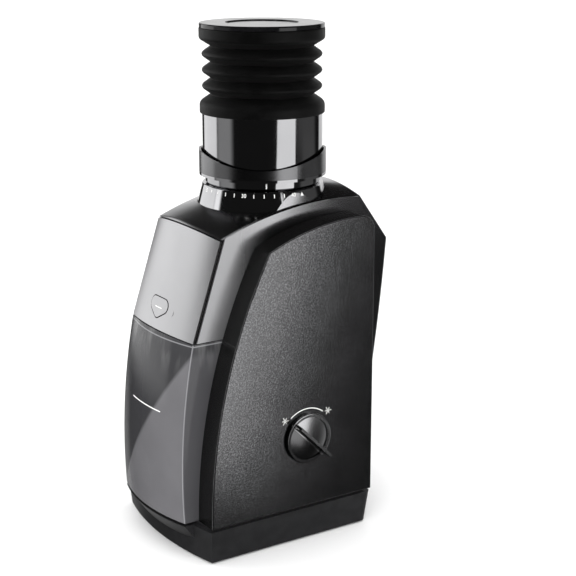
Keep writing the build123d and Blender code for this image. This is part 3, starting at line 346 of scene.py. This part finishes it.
# %% Cheek finish
CHEEK_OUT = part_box("right_cheek")[1][0]
RIM_FROM, RIM_TO = 0.9 * MM, 0.2 * MM
RIM_BLACK = (0.004, 0.004, 0.004)
SPARK_SCALE = 950.0
SPARK_LOW, SPARK_HIGH = 0.35, 0.75
SPARK_DARK, SPARK_LIGHT = 0.82, 1.42
cheek_finish = finish("spark_grain", (0.205, 0.205, 0.21), 0.21, drift=0.05, mottle=60.0, uneven=0.06,
                      grain=0.4, grain_scale=1000.0)
cheek_tree = cheek_finish.node_tree
cheek_place = place_of(cheek_tree)
cheek_colour = shader_of(cheek_finish).inputs["Base Color"]
sparks = noise(cheek_tree, cheek_place, SPARK_SCALE, detail=1.0)
sparkle = ease(cheek_tree, sparks, SPARK_LOW, SPARK_HIGH, SPARK_DARK, SPARK_LIGHT)
speckled = scaled(cheek_tree, fed_by(cheek_colour), sparkle)
outward = maths(cheek_tree, "ABSOLUTE", axes_of(cheek_tree, cheek_place)["X"])
on_side = ease(cheek_tree, outward, CHEEK_OUT - RIM_FROM, CHEEK_OUT - RIM_TO)
cheek_tree.links.new(tinted(cheek_tree, on_side, RIM_BLACK, speckled), cheek_colour)
cheek_tree.links.new(on_side, shader_of(cheek_finish).inputs["Metallic"])
print("cheek finish:", cheek_finish.name, "on the side at", round(CHEEK_OUT, 4))

# %% [markdown]
# ### Painted front and spine
# The front plate and the spine behind it are painted a satin grey whose metal flake makes it turn from
# silver to black with what it reflects. Only the plate's face is painted: its edges and its back stay dark,
# by a smooth step of how squarely a surface faces along the leaning front. That dark on the plate's edges and
# on the walls of the button's hole is also painted shade, standing in for the shadow in the seams round them.
# The spine is duller near the front and glossier to the rear, and its front flanks have a share of plain
# paint, so that they catch soft light too.

# %% Paint finishes
FACE_AIM = -0.95, 0.31
FACE_FROM, FACE_TO = 0.25, 0.5
BARE_EDGE_AND_SEAM_SHADE = (0.012, 0.012, 0.012)
paint_finish = finish("satin_flake", (0.52, 0.52, 0.53), 0.34, drift=0.04, mottle=30.0, uneven=0.06,
                      grain=0.02, grain_scale=2600.0, Metallic=1.0)
paint_tree = paint_finish.node_tree
paint_colour = shader_of(paint_finish).inputs["Base Color"]
# Painted shade: the plate's edges and the button's hole walls go dark, as for the shadow in the seams.
facing = axes_of(paint_tree, node(paint_tree, "ShaderNodeTexCoord").outputs["Normal"])
ahead = weighted(paint_tree, facing["Y"], facing["Z"], FACE_AIM)
on_face = ease(paint_tree, ahead, FACE_FROM, FACE_TO)
paint_tree.links.new(tinted(paint_tree, on_face, BARE_EDGE_AND_SEAM_SHADE, fed_by(paint_colour)), paint_colour)

SATIN_FROM, SATIN_TO = -58 * MM, -15 * MM
FRONT_DULL, REAR_GLOSS = 2.0, 0.85
FLANK_FROM, FLANK_TO = 40.5 * MM, 41.8 * MM
FLANK_METAL = 0.8
spine_finish = finish("satin_spine", (0.46, 0.46, 0.47), 0.17, drift=0.04, mottle=30.0, uneven=0.08,
                      grain=0.015, grain_scale=2600.0, Metallic=1.0)
spine_tree = spine_finish.node_tree
spine_axes = axes_of(spine_tree, place_of(spine_tree))
spine_rough = shader_of(spine_finish).inputs["Roughness"]
satin = ease(spine_tree, spine_axes["Y"], SATIN_FROM, SATIN_TO, FRONT_DULL, REAR_GLOSS)
spine_tree.links.new(maths(spine_tree, "MULTIPLY", fed_by(spine_rough), satin), spine_rough)
on_flank = ease(spine_tree, maths(spine_tree, "ABSOLUTE", spine_axes["X"]), FLANK_FROM, FLANK_TO)
at_front = ease(spine_tree, spine_axes["Y"], SATIN_FROM, SATIN_TO, 1.0, 0.0)
flank = maths(spine_tree, "MULTIPLY", on_flank, at_front)
flank_metal = ease(spine_tree, flank, 0.0, 1.0, 1.0, FLANK_METAL)
spine_tree.links.new(flank_metal, shader_of(spine_finish).inputs["Metallic"])
print("paint finishes:", paint_finish.name, spine_finish.name)

# %% [markdown]
# ### Knob, collar and black pieces
# The collar and the hopper's neck are black chrome, the knob is satin metal, the lid is polished black and
# the base is a plainer semi-gloss black. The half of the knob below its grip lies in shade in the
# photograph. No soft box shades so small a half alone, so the shade is a smooth step in the finish, across
# the grip's line.

# %% Knob, chrome and black finishes
KNOB_Y, KNOB_Z = -4.0, 74.0
GRIP_ACROSS = 0.726, 0.688
SHADE_FROM, SHADE_TO = -2.6 * MM, -1.6 * MM
LOWER_SHADE = 0.27
chrome_finish = finish("black_chrome", (0.48, 0.48, 0.49), 0.07, drift=0.04, mottle=50.0, uneven=0.3,
                       grain=0.01, grain_scale=2600.0, Metallic=1.0)
knob_finish = finish("satin_knob", (0.54, 0.54, 0.55), 0.20, drift=0.05, mottle=60.0, uneven=0.1,
                     grain=0.02, grain_scale=2600.0, Metallic=1.0)
knob_tree = knob_finish.node_tree
knob_colour = shader_of(knob_finish).inputs["Base Color"]
knob_axes = axes_of(knob_tree, place_of(knob_tree))
knob_along = maths(knob_tree, "SUBTRACT", knob_axes["Y"], KNOB_Y * MM)
knob_up = maths(knob_tree, "SUBTRACT", knob_axes["Z"], KNOB_Z * MM)
over_grip = weighted(knob_tree, knob_along, knob_up, GRIP_ACROSS)
half_shade = ease(knob_tree, over_grip, SHADE_FROM, SHADE_TO, LOWER_SHADE, 1.0)
knob_tree.links.new(scaled(knob_tree, fed_by(knob_colour), half_shade), knob_colour)
gloss_finish = finish("gloss_black", (0.005, 0.005, 0.0055), 0.10, drift=0.2, mottle=60.0, uneven=0.35,
                      grain=0.02, grain_scale=3000.0)
base_finish = finish("base_black", (0.016, 0.016, 0.017), 0.30, drift=0.15, mottle=160.0, uneven=0.07,
                     grain=0.10, grain_scale=2200.0)
print("other cover finishes:", chrome_finish.name, knob_finish.name, gloss_finish.name, base_finish.name)

# %% [markdown]
# ### Smoky bin
# The bin is clear plastic with a smoke tint: some light passes, some is soaked up, and the skin is glossy.
# A paler band lies below a slanting line across the wall, fuller on the front than on the sides: it is a
# painted reflection. Near the rim a few streaks of dust stay where a hand wiped it. The painted reflection is
# a smooth step across a tilted plane, broken a little by noise, and the streaks are a noise stretched upright
# and faded out with height. The front corners and the brim get a thin pale line, a painted highlight.

# %% Bin finish
BIN_SMOKE = (0.042, 0.042, 0.045)
BIN_PAINTED_REFLECTION = (0.160, 0.157, 0.166)
BIN_FILM = (0.22, 0.22, 0.22)
BIN_PAINTED_HIGHLIGHT = (0.5, 0.5, 0.52)
REFLECTION_LEVEL, REFLECTION_TILT, REFLECTION_EDGE = 81.5 * MM, 1.35, 3 * MM
REFLECTION_ON_SIDES = 0.3
REFLECTION_CLOUD_SCALE, REFLECTION_THIN = 30.0, 0.8
REFLECTION_CLOUD_LOW, REFLECTION_CLOUD_HIGH = 0.2, 0.8
FILM_LOW, FILM_HIGH = 118 * MM, 146 * MM
FILM_SHARE = 0.4
STREAK_SCALE, STREAK_STRETCH = 90.0, (1.0, 1.0, 0.22)
STREAK_LOW, STREAK_HIGH = 0.48, 0.66
CORNER_HIGHLIGHT = dict(low=41.2 * MM, high=41.8 * MM, edge=0.2 * MM)
BRIM_HIGHLIGHT = dict(low=143.6 * MM, high=144.3 * MM, edge=0.3 * MM)
HIGHLIGHT_SHARE = 0.45
bin_finish = finish("smoky_clear", BIN_SMOKE, 0.12, mottle=24.0, uneven=0.15, grain=0.004, grain_scale=300.0,
                    Transmission_Weight=0.1, IOR=1.33)
bin_tree = bin_finish.node_tree
bin_place = place_of(bin_tree)
bin_axes = axes_of(bin_tree, bin_place)
bin_out = maths(bin_tree, "ABSOLUTE", bin_axes["X"])

# Painted reflection: a paler band below a tilted plane, fuller on the front than on the sides.
over_level = maths(bin_tree, "SUBTRACT", bin_axes["Z"], REFLECTION_LEVEL)
over_line = maths(bin_tree, "SUBTRACT", over_level, maths(bin_tree, "MULTIPLY", bin_axes["X"], REFLECTION_TILT))
below_reflection_line = ease(bin_tree, over_line, -REFLECTION_EDGE, REFLECTION_EDGE, 1.0, 0.0)
reflection_on_front = ease(bin_tree, bin_out, FLANK_FROM, FLANK_TO, 1.0, REFLECTION_ON_SIDES)
reflection_cloud = noise(bin_tree, bin_place, REFLECTION_CLOUD_SCALE, detail=3.0)
reflection_broken = ease(bin_tree, reflection_cloud, REFLECTION_CLOUD_LOW, REFLECTION_CLOUD_HIGH, REFLECTION_THIN, 1.0)
painted_reflection = maths(bin_tree, "MULTIPLY", maths(bin_tree, "MULTIPLY", below_reflection_line, reflection_on_front), reflection_broken)
with_painted_reflection = tinted(bin_tree, painted_reflection, BIN_SMOKE, BIN_PAINTED_REFLECTION)

film_height = ease(bin_tree, bin_axes["Z"], FILM_LOW, FILM_HIGH)
streaks = noise(bin_tree, bin_place, STREAK_SCALE, detail=3.0, stretch=STREAK_STRETCH)
film_streak = ease(bin_tree, streaks, STREAK_LOW, STREAK_HIGH)
film = maths(bin_tree, "MULTIPLY", maths(bin_tree, "MULTIPLY", film_height, film_streak), FILM_SHARE)
filmed = tinted(bin_tree, film, with_painted_reflection, BIN_FILM)

# Painted highlight: thin pale lines along the front corners and the brim.
corner_highlight = window(bin_tree, bin_out, **CORNER_HIGHLIGHT)
brim_highlight = window(bin_tree, bin_axes["Z"], **BRIM_HIGHLIGHT)
painted_highlight = maths(bin_tree, "MULTIPLY", maths(bin_tree, "MAXIMUM", corner_highlight, brim_highlight), HIGHLIGHT_SHARE)
bin_tree.links.new(tinted(bin_tree, painted_highlight, filmed, BIN_PAINTED_HIGHLIGHT), shader_of(bin_finish).inputs["Base Color"])
print("bin haze below", REFLECTION_LEVEL, "film from", FILM_LOW)

# %% [markdown]
# ### Hopper metals and soft pieces
# The tube is dark polished metal with very fine upright draw lines, and its scooped ring is anodised and bead
# blasted. The bellows is matt silicone, which shows a soft sheen at grazing angles; the pale dust it gathers
# is not drawn.

# %% Hopper finishes
tube_finish = finish("polished_tube", (0.45, 0.45, 0.46), 0.09, drift=0.04, mottle=30.0, uneven=0.3,
                     grain=0.03, grain_scale=1800.0, stretch=(1.0, 1.0, 0.02), Metallic=1.0)
band_finish = finish("anodised_dark", (0.24, 0.24, 0.245), 0.24, drift=0.06, mottle=60.0, uneven=0.12,
                     grain=0.03, grain_scale=2400.0, Metallic=1.0)
silicone_finish = finish("silicone", (0.0018, 0.0018, 0.0018), 0.55, drift=0.3, mottle=110.0, uneven=0.12,
                         grain=0.25, grain_scale=1300.0, Sheen_Weight=0.03, Sheen_Roughness=0.45,
                         Specular_IOR_Level=0.25)
rubber_finish = finish("foot_rubber", (0.016, 0.016, 0.016), 0.75, drift=0.25, mottle=200.0, grain=0.4,
                       grain_scale=1100.0)
print("hopper finishes:", tube_finish.name, band_finish.name, silicone_finish.name)

# %% [markdown]
# ### Works inside
# Gears, burrs, motor and board are hidden in the portrait, but they show when the bin slides out or the
# hopper lifts off. Turned steel is brushed round its axis, castings are blasted, nylon is milky and a
# little translucent, and the board is green lacquer.

# %% Inner finishes
steel_finish = finish("turned_steel", (0.55, 0.55, 0.55), 0.26, drift=0.06, mottle=70.0, uneven=0.25,
                      grain=0.12, grain_scale=1400.0, stretch=(0.15, 0.15, 1.0), Metallic=1.0)
alloy_finish = finish("blasted_alloy", (0.52, 0.52, 0.53), 0.45, drift=0.07, mottle=90.0, grain=0.35,
                      grain_scale=1100.0, Metallic=0.9)
plated_finish = finish("zinc_plate", (0.45, 0.45, 0.44), 0.34, drift=0.18, mottle=130.0, uneven=0.25,
                       grain=0.05, grain_scale=1500.0, Metallic=0.9)
ferrite_finish = finish("ferrite", (0.06, 0.06, 0.065), 0.6, drift=0.25, mottle=300.0, grain=0.3)
nylon_finish = finish("milky_nylon", (0.70, 0.68, 0.62), 0.42, drift=0.05, mottle=60.0, grain=0.06,
                      Subsurface_Weight=0.15, Subsurface_Scale=0.002)
frame_finish = finish("filled_plastic", (0.05, 0.05, 0.053), 0.5, drift=0.15, mottle=140.0, grain=0.2,
                      grain_scale=1300.0)
brass_finish = finish("cut_brass", (0.72, 0.53, 0.24), 0.25, drift=0.08, mottle=120.0, uneven=0.25,
                      grain=0.12, stretch=(1.0, 1.0, 0.1), Metallic=1.0)
board_finish = finish("green_lacquer", (0.02, 0.13, 0.05), 0.22, drift=0.25, mottle=240.0, uneven=0.25,
                      grain=0.15, grain_scale=700.0)
pale_finish = finish("pale_plastic", (0.48, 0.48, 0.45), 0.45, drift=0.06, mottle=90.0, grain=0.12)
print("inner finishes:", steel_finish.name, alloy_finish.name, nylon_finish.name, board_finish.name)

# %% [markdown]
# ### Dressing
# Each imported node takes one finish. They could be set node by node, but a list under each finish shows at a
# glance which pieces are made of the same stuff.

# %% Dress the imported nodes
DRESS = {
    cheek_finish: ["left_cheek", "right_cheek"],
    paint_finish: ["front_panel", "pulse_button"],
    spine_finish: ["main_housing"],
    chrome_finish: ["scale_collar", "hopper_adapter"],
    gloss_finish: ["lid"],
    knob_finish: ["power_knob"],
    base_finish: ["base_tray", "cord_gland"],
    bin_finish: ["grounds_bin"],
    tube_finish: ["hopper_tube"],
    band_finish: ["hopper_ring", "adjusting_ring"],
    silicone_finish: ["bellows", "burr_seal"],
    rubber_finish: ["foot_ring"],
    steel_finish: ["base_screws", "gearbox_screws", "cluster_pin", "drive_bearings", "motor_screws",
                   "chamber_screws", "knob_spindle", "ring_burr", "motor_rotor", "drive_shaft", "drive_gear",
                   "cone_burr", "burr_nut"],
    alloy_finish: ["gearbox_base", "gearbox_cover", "burr_chamber"],
    plated_finish: ["motor_can"],
    ferrite_finish: ["motor_magnets"],
    nylon_finish: ["cluster_gear"],
    frame_finish: ["inner_frame", "motor_end_cap", "chute", "ring_burr_holder", "grounds_wiper"],
    brass_finish: ["motor_pinion"],
    board_finish: ["circuit_board", "pulse_switch"],
    pale_finish: ["rotary_switch"],
}
for material, names in DRESS.items():
    for name in names:
        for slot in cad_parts[name].material_slots:
            slot.material = material
dressed = sum(len(names) for names in DRESS.values())
print("nodes dressed:", dressed, "of", len(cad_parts))

# %% [markdown]
# ## Bellows
# A silicone bellows is moulded in one skin: a cuff that grips the tube, three ribs with straight flanks and
# rounded crests, and a cuff for the lid. It could be a lathe of a hand-drawn curve. Here its outline is a
# short list of corners, each with its own easing, which becomes one closed profile that is carried round the
# axis, so the wall has a real thickness and the mouth is open.

# %% Surface helpers
def skin(name, points, wrap_rows=False, wrap_columns=False):
    """Object from a grid of points (rows, columns, 3); a wrapped direction joins its end to its start."""
    rows, columns = points.shape[:2]
    index = np.arange(rows * columns).reshape(rows, columns)
    if wrap_rows:
        index = np.vstack([index, index[:1]])
    if wrap_columns:
        index = np.hstack([index, index[:, :1]])
    quads = np.stack([index[:-1, :-1], index[:-1, 1:], index[1:, 1:], index[1:, :-1]], axis=-1).reshape(-1, 4)
    mesh = bpy.data.meshes.new(name)
    mesh.from_pydata(points.reshape(-1, 3).tolist(), [], quads.tolist())
    mesh.polygons.foreach_set("use_smooth", np.ones(len(quads), dtype=bool))
    made = bpy.data.objects.new(name, mesh)
    bpy.context.collection.objects.link(made)
    return made


def eased_outline(corners, steps):
    """Closed outline of (r, z, ease) corners, each a quadratic curve of ease length on both legs."""
    corners = np.array(corners, dtype=float)
    point, reach = corners[:, :2], corners[:, 2:]
    back = np.roll(point, 1, axis=0) - point
    ahead = np.roll(point, -1, axis=0) - point
    start = point + back / np.linalg.norm(back, axis=1, keepdims=True) * reach
    end = point + ahead / np.linalg.norm(ahead, axis=1, keepdims=True) * reach
    t = np.linspace(0, 1, steps)[None, :, None]
    curve = (1 - t) ** 2 * start[:, None] + 2 * t * (1 - t) * point[:, None] + t**2 * end[:, None]
    return curve.reshape(-1, 2)


def turned(outline, columns):
    """Outline of (r, z) carried round Z: x = r cos a, y = r sin a."""
    angle = np.linspace(0, 2 * np.pi, columns, endpoint=False)
    r, z = outline[:, :1], outline[:, 1:]
    return np.stack([r * np.cos(angle), r * np.sin(angle), np.broadcast_to(z, (len(r), columns))], axis=-1)


# %% Bellows
low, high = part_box("bellows")
CUFF_Z, BELLOWS_TOP = low[2] / MM, high[2] / MM
CUFF_R = high[0] / MM
TUBE_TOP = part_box("hopper_tube")[1][2] / MM
TUBE_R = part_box("hopper_tube")[1][0] / MM
SKIN = 1.8
FIT = 0.3
RIB_COUNT, RIB_PITCH = 3, 10.3
RIB_R, GROOVE_R = 39.3, 33.4
CREST_OVER = 1.6
CUFF_OVER, RIBS_OVER, CAP_RISE = 0.6, 5.6, 4.6
RIBS_Z = TUBE_TOP + RIBS_OVER
CAP_Z = RIBS_Z + RIB_COUNT * RIB_PITCH
inner_r = GROOVE_R - SKIN
outside = [(CUFF_R, CUFF_Z, 0.5), (CUFF_R, TUBE_TOP + CUFF_OVER, 2.6)]
inside = [(TUBE_R + FIT, CUFF_Z, 0.3), (TUBE_R + FIT, TUBE_TOP + FIT, 0.05), (inner_r, TUBE_TOP + FIT, 0.8)]
for rib in range(RIB_COUNT):
    valley = RIBS_Z + RIB_PITCH * rib
    crest = valley + RIB_PITCH / 2
    outside += [(GROOVE_R, valley, 0.8), (RIB_R + CREST_OVER, crest, 4.0)]
    inside += [(inner_r, valley, 1.0), (RIB_R - SKIN, crest, 2.0)]
outside += [(GROOVE_R, CAP_Z, 0.7), (CUFF_R, CAP_Z + CAP_RISE, 1.6), (CUFF_R, BELLOWS_TOP, 0.8)]
inside += [(inner_r, CAP_Z, 1.0), (inner_r, BELLOWS_TOP, 0.5)]
BELLOWS_STEPS = 9
BELLOWS_COLUMNS = 144
outline = eased_outline(outside + inside[::-1], BELLOWS_STEPS) * MM
bellows = skin("silicone_bellows", turned(outline, BELLOWS_COLUMNS).transpose(1, 0, 2), True, True)
bellows.data.materials.append(silicone_finish)
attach(bellows, "bellows_body")
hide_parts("bellows")
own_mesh(bellows)
print("bellows outline points:", len(outline), "round the axis:", BELLOWS_COLUMNS)

# %% [markdown]
# ## Printed marks
# The grind scale, the arc by the knob and the lines on bin and button are pad printed in white. Ink has
# almost no thickness, but a mark that only lies in a texture blurs up close, so each one is a very thin
# skin laid just above the surface that carries it, with a little thickness of its own.

# %% Ink and its helpers
INK_LIFT = 0.04
INK_THICK = 0.08
ink_finish = finish("white_ink", (0.92, 0.92, 0.90), 0.5, drift=0.04, mottle=700.0, grain=0.08,
                    grain_scale=2500.0)
ink_pieces = []


def printed(piece, body):
    """Give a mark its ink, its thickness and the body it rides on."""
    piece.data.materials.append(ink_finish)
    solid = piece.modifiers.new("ink", "SOLIDIFY")
    solid.thickness = INK_THICK * MM
    solid.offset = -1
    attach(piece, body)
    ink_pieces.append(piece.name)


def spread(low, high, count):
    """Evenly spaced values from low to high."""
    return np.linspace(low, high, count)


# %% [markdown]
# ### Grind scale
# The scale runs round the collar's cone. A mark is flat artwork in two lengths, along the scale and up it;
# it is wrapped by turning the first length into an angle and keeping the second as height, with the cone's
# radius at that height.

# %% Scale marks
COLLAR_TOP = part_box("scale_collar")[1][2] / MM
RIM_R = 40.0
CONE_SLOPE = 0.25
SCALE_Z = 232.9
SETTING_TURN = 4.65
LAST_SETTING = 40
LAST_ANGLE = -2.7


def on_cone(along, up, angle):
    """Artwork lengths laid on the cone: the angle grows by along over r, and r grows as z drops."""
    z = SCALE_Z + up
    r = RIM_R + (COLLAR_TOP - z) * CONE_SLOPE + INK_LIFT
    turn = np.radians(angle) + along / r
    return np.stack([r * np.cos(turn), r * np.sin(turn), z + 0 * turn], axis=-1) * MM


def setting_angle(setting):
    """Where a setting stands, in degrees from +X."""
    return LAST_ANGLE + (setting - LAST_SETTING) * SETTING_TURN


def flat_text(words, size):
    """Outline of some words as flat points and faces, centred on zero."""
    curve = bpy.data.curves.new("words", "FONT")
    curve.body = words
    curve.size = size
    curve.align_x = "CENTER"
    curve.align_y = "CENTER"
    holder = bpy.data.objects.new("words", curve)
    bpy.context.collection.objects.link(holder)
    seen_by = bpy.context.evaluated_depsgraph_get()
    mesh = bpy.data.meshes.new_from_object(holder.evaluated_get(seen_by))
    bpy.data.objects.remove(holder)
    flat = np.empty(len(mesh.vertices) * 3)
    mesh.vertices.foreach_get("co", flat)
    return mesh, flat.reshape(-1, 3)


def wrapped_text(name, words, size, angle):
    """Words wrapped on the cone at an angle."""
    mesh, flat = flat_text(words, size)
    mesh.name = name
    mesh.vertices.foreach_set("co", on_cone(flat[:, 0], flat[:, 1], angle).ravel())
    made = bpy.data.objects.new(name, mesh)
    bpy.context.collection.objects.link(made)
    return made


TICK_WIDTH, TICK_HEIGHT, TICK_STEP = 0.55, 2.4, 2
NUMERAL_SIZE, NUMERAL_STEP = 3.4, 10
tick_along, tick_up = np.meshgrid(spread(-TICK_WIDTH / 2, TICK_WIDTH / 2, 2),
                                  spread(-TICK_HEIGHT / 2, TICK_HEIGHT / 2, 3))
for setting in range(0, LAST_SETTING + 1, TICK_STEP):
    if setting % NUMERAL_STEP == 0:
        mark = wrapped_text(f"scale_numeral_{setting}", str(setting), NUMERAL_SIZE, setting_angle(setting))
    else:
        mark = skin(f"scale_tick_{setting}", on_cone(tick_along, tick_up, setting_angle(setting)))
    printed(mark, "housing")
ARROW_HALF, ARROW_HEIGHT, ARROW_TAPER = 1.3, 2.4, 0.98
ARROW_ANGLE = 6.5
arrow_share, arrow_rise = np.meshgrid(spread(-1, 1, 5), spread(0, 1, 5))
arrow_along = arrow_share * ARROW_HALF * (1 - ARROW_TAPER * arrow_rise)
arrow = skin("scale_arrow", on_cone(arrow_along, (arrow_rise - 0.5) * ARROW_HEIGHT, ARROW_ANGLE))
printed(arrow, "housing")
print("scale marks:", len(ink_pieces))

# %% [markdown]
# ### Index mark
# A short upright line on the hopper's neck points at the setting. It turns with the hopper, so it rides on
# that body, and it is laid on the neck's plain cylinder the way the scale is laid on the cone.

# %% Index mark on the neck
NECK_R = 38.0
INDEX_ANGLE = -28.3
INDEX_WIDTH, INDEX_LOW, INDEX_HIGH = 0.9, 237.2, 240.6
index_along, index_z = np.meshgrid(spread(-INDEX_WIDTH / 2, INDEX_WIDTH / 2, 3),
                                   spread(INDEX_LOW, INDEX_HIGH, 2))
index_r = NECK_R + INK_LIFT
index_turn = np.radians(INDEX_ANGLE) + index_along / index_r
index_points = np.stack([index_r * np.cos(index_turn), index_r * np.sin(index_turn), index_z], axis=-1) * MM
printed(skin("index_mark", index_points), "hopper")
print("index at", INDEX_ANGLE, "degrees")

# %% [markdown]
# ### Knob print
# The print round the power knob lies on the flat side of the cheek: a thin arc between the two ends of the
# knob's travel, and a small burst of strokes at each end. A burst is six tapering rays, each one a strip.

# %% Knob marks
CHEEK_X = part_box("right_cheek")[1][0] / MM
ARC_R, ARC_WIDTH = 20.1, 0.6
ARC_FROM, ARC_TO = 129.0, 52.0
BURST_R = 22.6
BURSTS = {"start": 139.5, "end": 43.5}
RAY_COUNT, RAY_LONG, RAY_SHORT, RAY_WIDTH = 6, 2.9, 2.4, 0.42
RAY_ROOT, RAY_WIDEST, RAY_TAPER = 0.12, 1.15, 0.45


def on_cheek(along, up):
    """Artwork lengths laid on the cheek's side, counted from the knob's axis."""
    return np.stack([np.full_like(along, CHEEK_X + INK_LIFT), KNOB_Y + along, KNOB_Z + up], axis=-1) * MM


arc_turn, arc_r = np.meshgrid(np.radians(spread(ARC_FROM, ARC_TO, 40)),
                              spread(ARC_R - ARC_WIDTH / 2, ARC_R + ARC_WIDTH / 2, 2))
printed(skin("knob_arc", on_cheek(arc_r * np.cos(arc_turn), arc_r * np.sin(arc_turn))), "housing")
for name, angle in BURSTS.items():
    centre = BURST_R * np.array([np.cos(radians(angle)), np.sin(radians(angle))])
    for ray in range(RAY_COUNT):
        reach = RAY_LONG if ray % 2 == 0 else RAY_SHORT
        turn = 2 * np.pi * ray / RAY_COUNT
        side, out_share = np.meshgrid(spread(-0.5, 0.5, 2), spread(RAY_ROOT, 1.0, 3))
        width = side * RAY_WIDTH * (RAY_WIDEST - out_share * RAY_TAPER)
        along = centre[0] + reach * out_share * np.cos(turn) - width * np.sin(turn)
        up = centre[1] + reach * out_share * np.sin(turn) + width * np.cos(turn)
        printed(skin(f"knob_burst_{name}_{ray}", on_cheek(along, up)), "housing")
print("knob marks:", 1 + len(BURSTS) * RAY_COUNT)

# %% [markdown]
# ### Lines on bin and button
# The bin's front swells towards its middle and bows from foot to rim. Both bends are close to parabolas, so
# the line follows y = chord - swell (1 - (x / half)^2) - bow 4 t (1 - t), with t the share of the height.
# The button's face is flat and leans like the front plate, a little proud of its crown, so its line is
# straight.

# %% Bin and button lines
SPINE_HALF, SWELL = 42.0, 6.8
BODY_Z, SPLIT_Z = 25.4, 145.4
NOSE_Y, SPLIT_Y, CREST_Y, PANEL_RISE = -86.6, -77.8, -56.4, 65.0
BIN_BOW = 4.0
BIN_LINE_Z, BIN_LINE_HALF, BIN_LINE_WIDTH = 96.5, 19.0, 0.8


def on_bin(x, z):
    """Point on the bin's front."""
    t = (z - BODY_Z) / (SPLIT_Z - BODY_Z)
    y = NOSE_Y + (SPLIT_Y - NOSE_Y) * t - SWELL * (1 - (x / SPINE_HALF) ** 2) - BIN_BOW * 4 * t * (1 - t)
    return np.stack([x, y - INK_LIFT, z], axis=-1) * MM


bin_x, bin_z = np.meshgrid(spread(-BIN_LINE_HALF, BIN_LINE_HALF, 30),
                           BIN_LINE_Z + spread(-BIN_LINE_WIDTH / 2, BIN_LINE_WIDTH / 2, 2))
printed(skin("bin_line", on_bin(bin_x, bin_z)), "bin")

PANEL_SLOPE = (CREST_Y - SPLIT_Y) / PANEL_RISE
BUTTON_PROUD = 0.4
BUTTON_LINE_RISE, BUTTON_LINE_HALF, BUTTON_LINE_WIDTH = 15.1, 4.3, 0.55


def on_button(x, rise):
    """Point on the button's flat face, which leans like the panel and stands a little proud of its crown."""
    lean = np.arctan(PANEL_SLOPE)
    y = SPLIT_Y - SWELL + PANEL_SLOPE * rise
    proud = BUTTON_PROUD + INK_LIFT
    return np.stack([x, y - proud * np.cos(lean), SPLIT_Z + rise + proud * np.sin(lean)], axis=-1) * MM


line_half = BUTTON_LINE_WIDTH / 2
button_x, button_rise = np.meshgrid(spread(-BUTTON_LINE_HALF, BUTTON_LINE_HALF, 8),
                                    BUTTON_LINE_RISE + spread(-line_half, line_half, 2))
printed(skin("button_line", on_button(button_x, button_rise)), "button")
print("ink pieces:", len(ink_pieces))
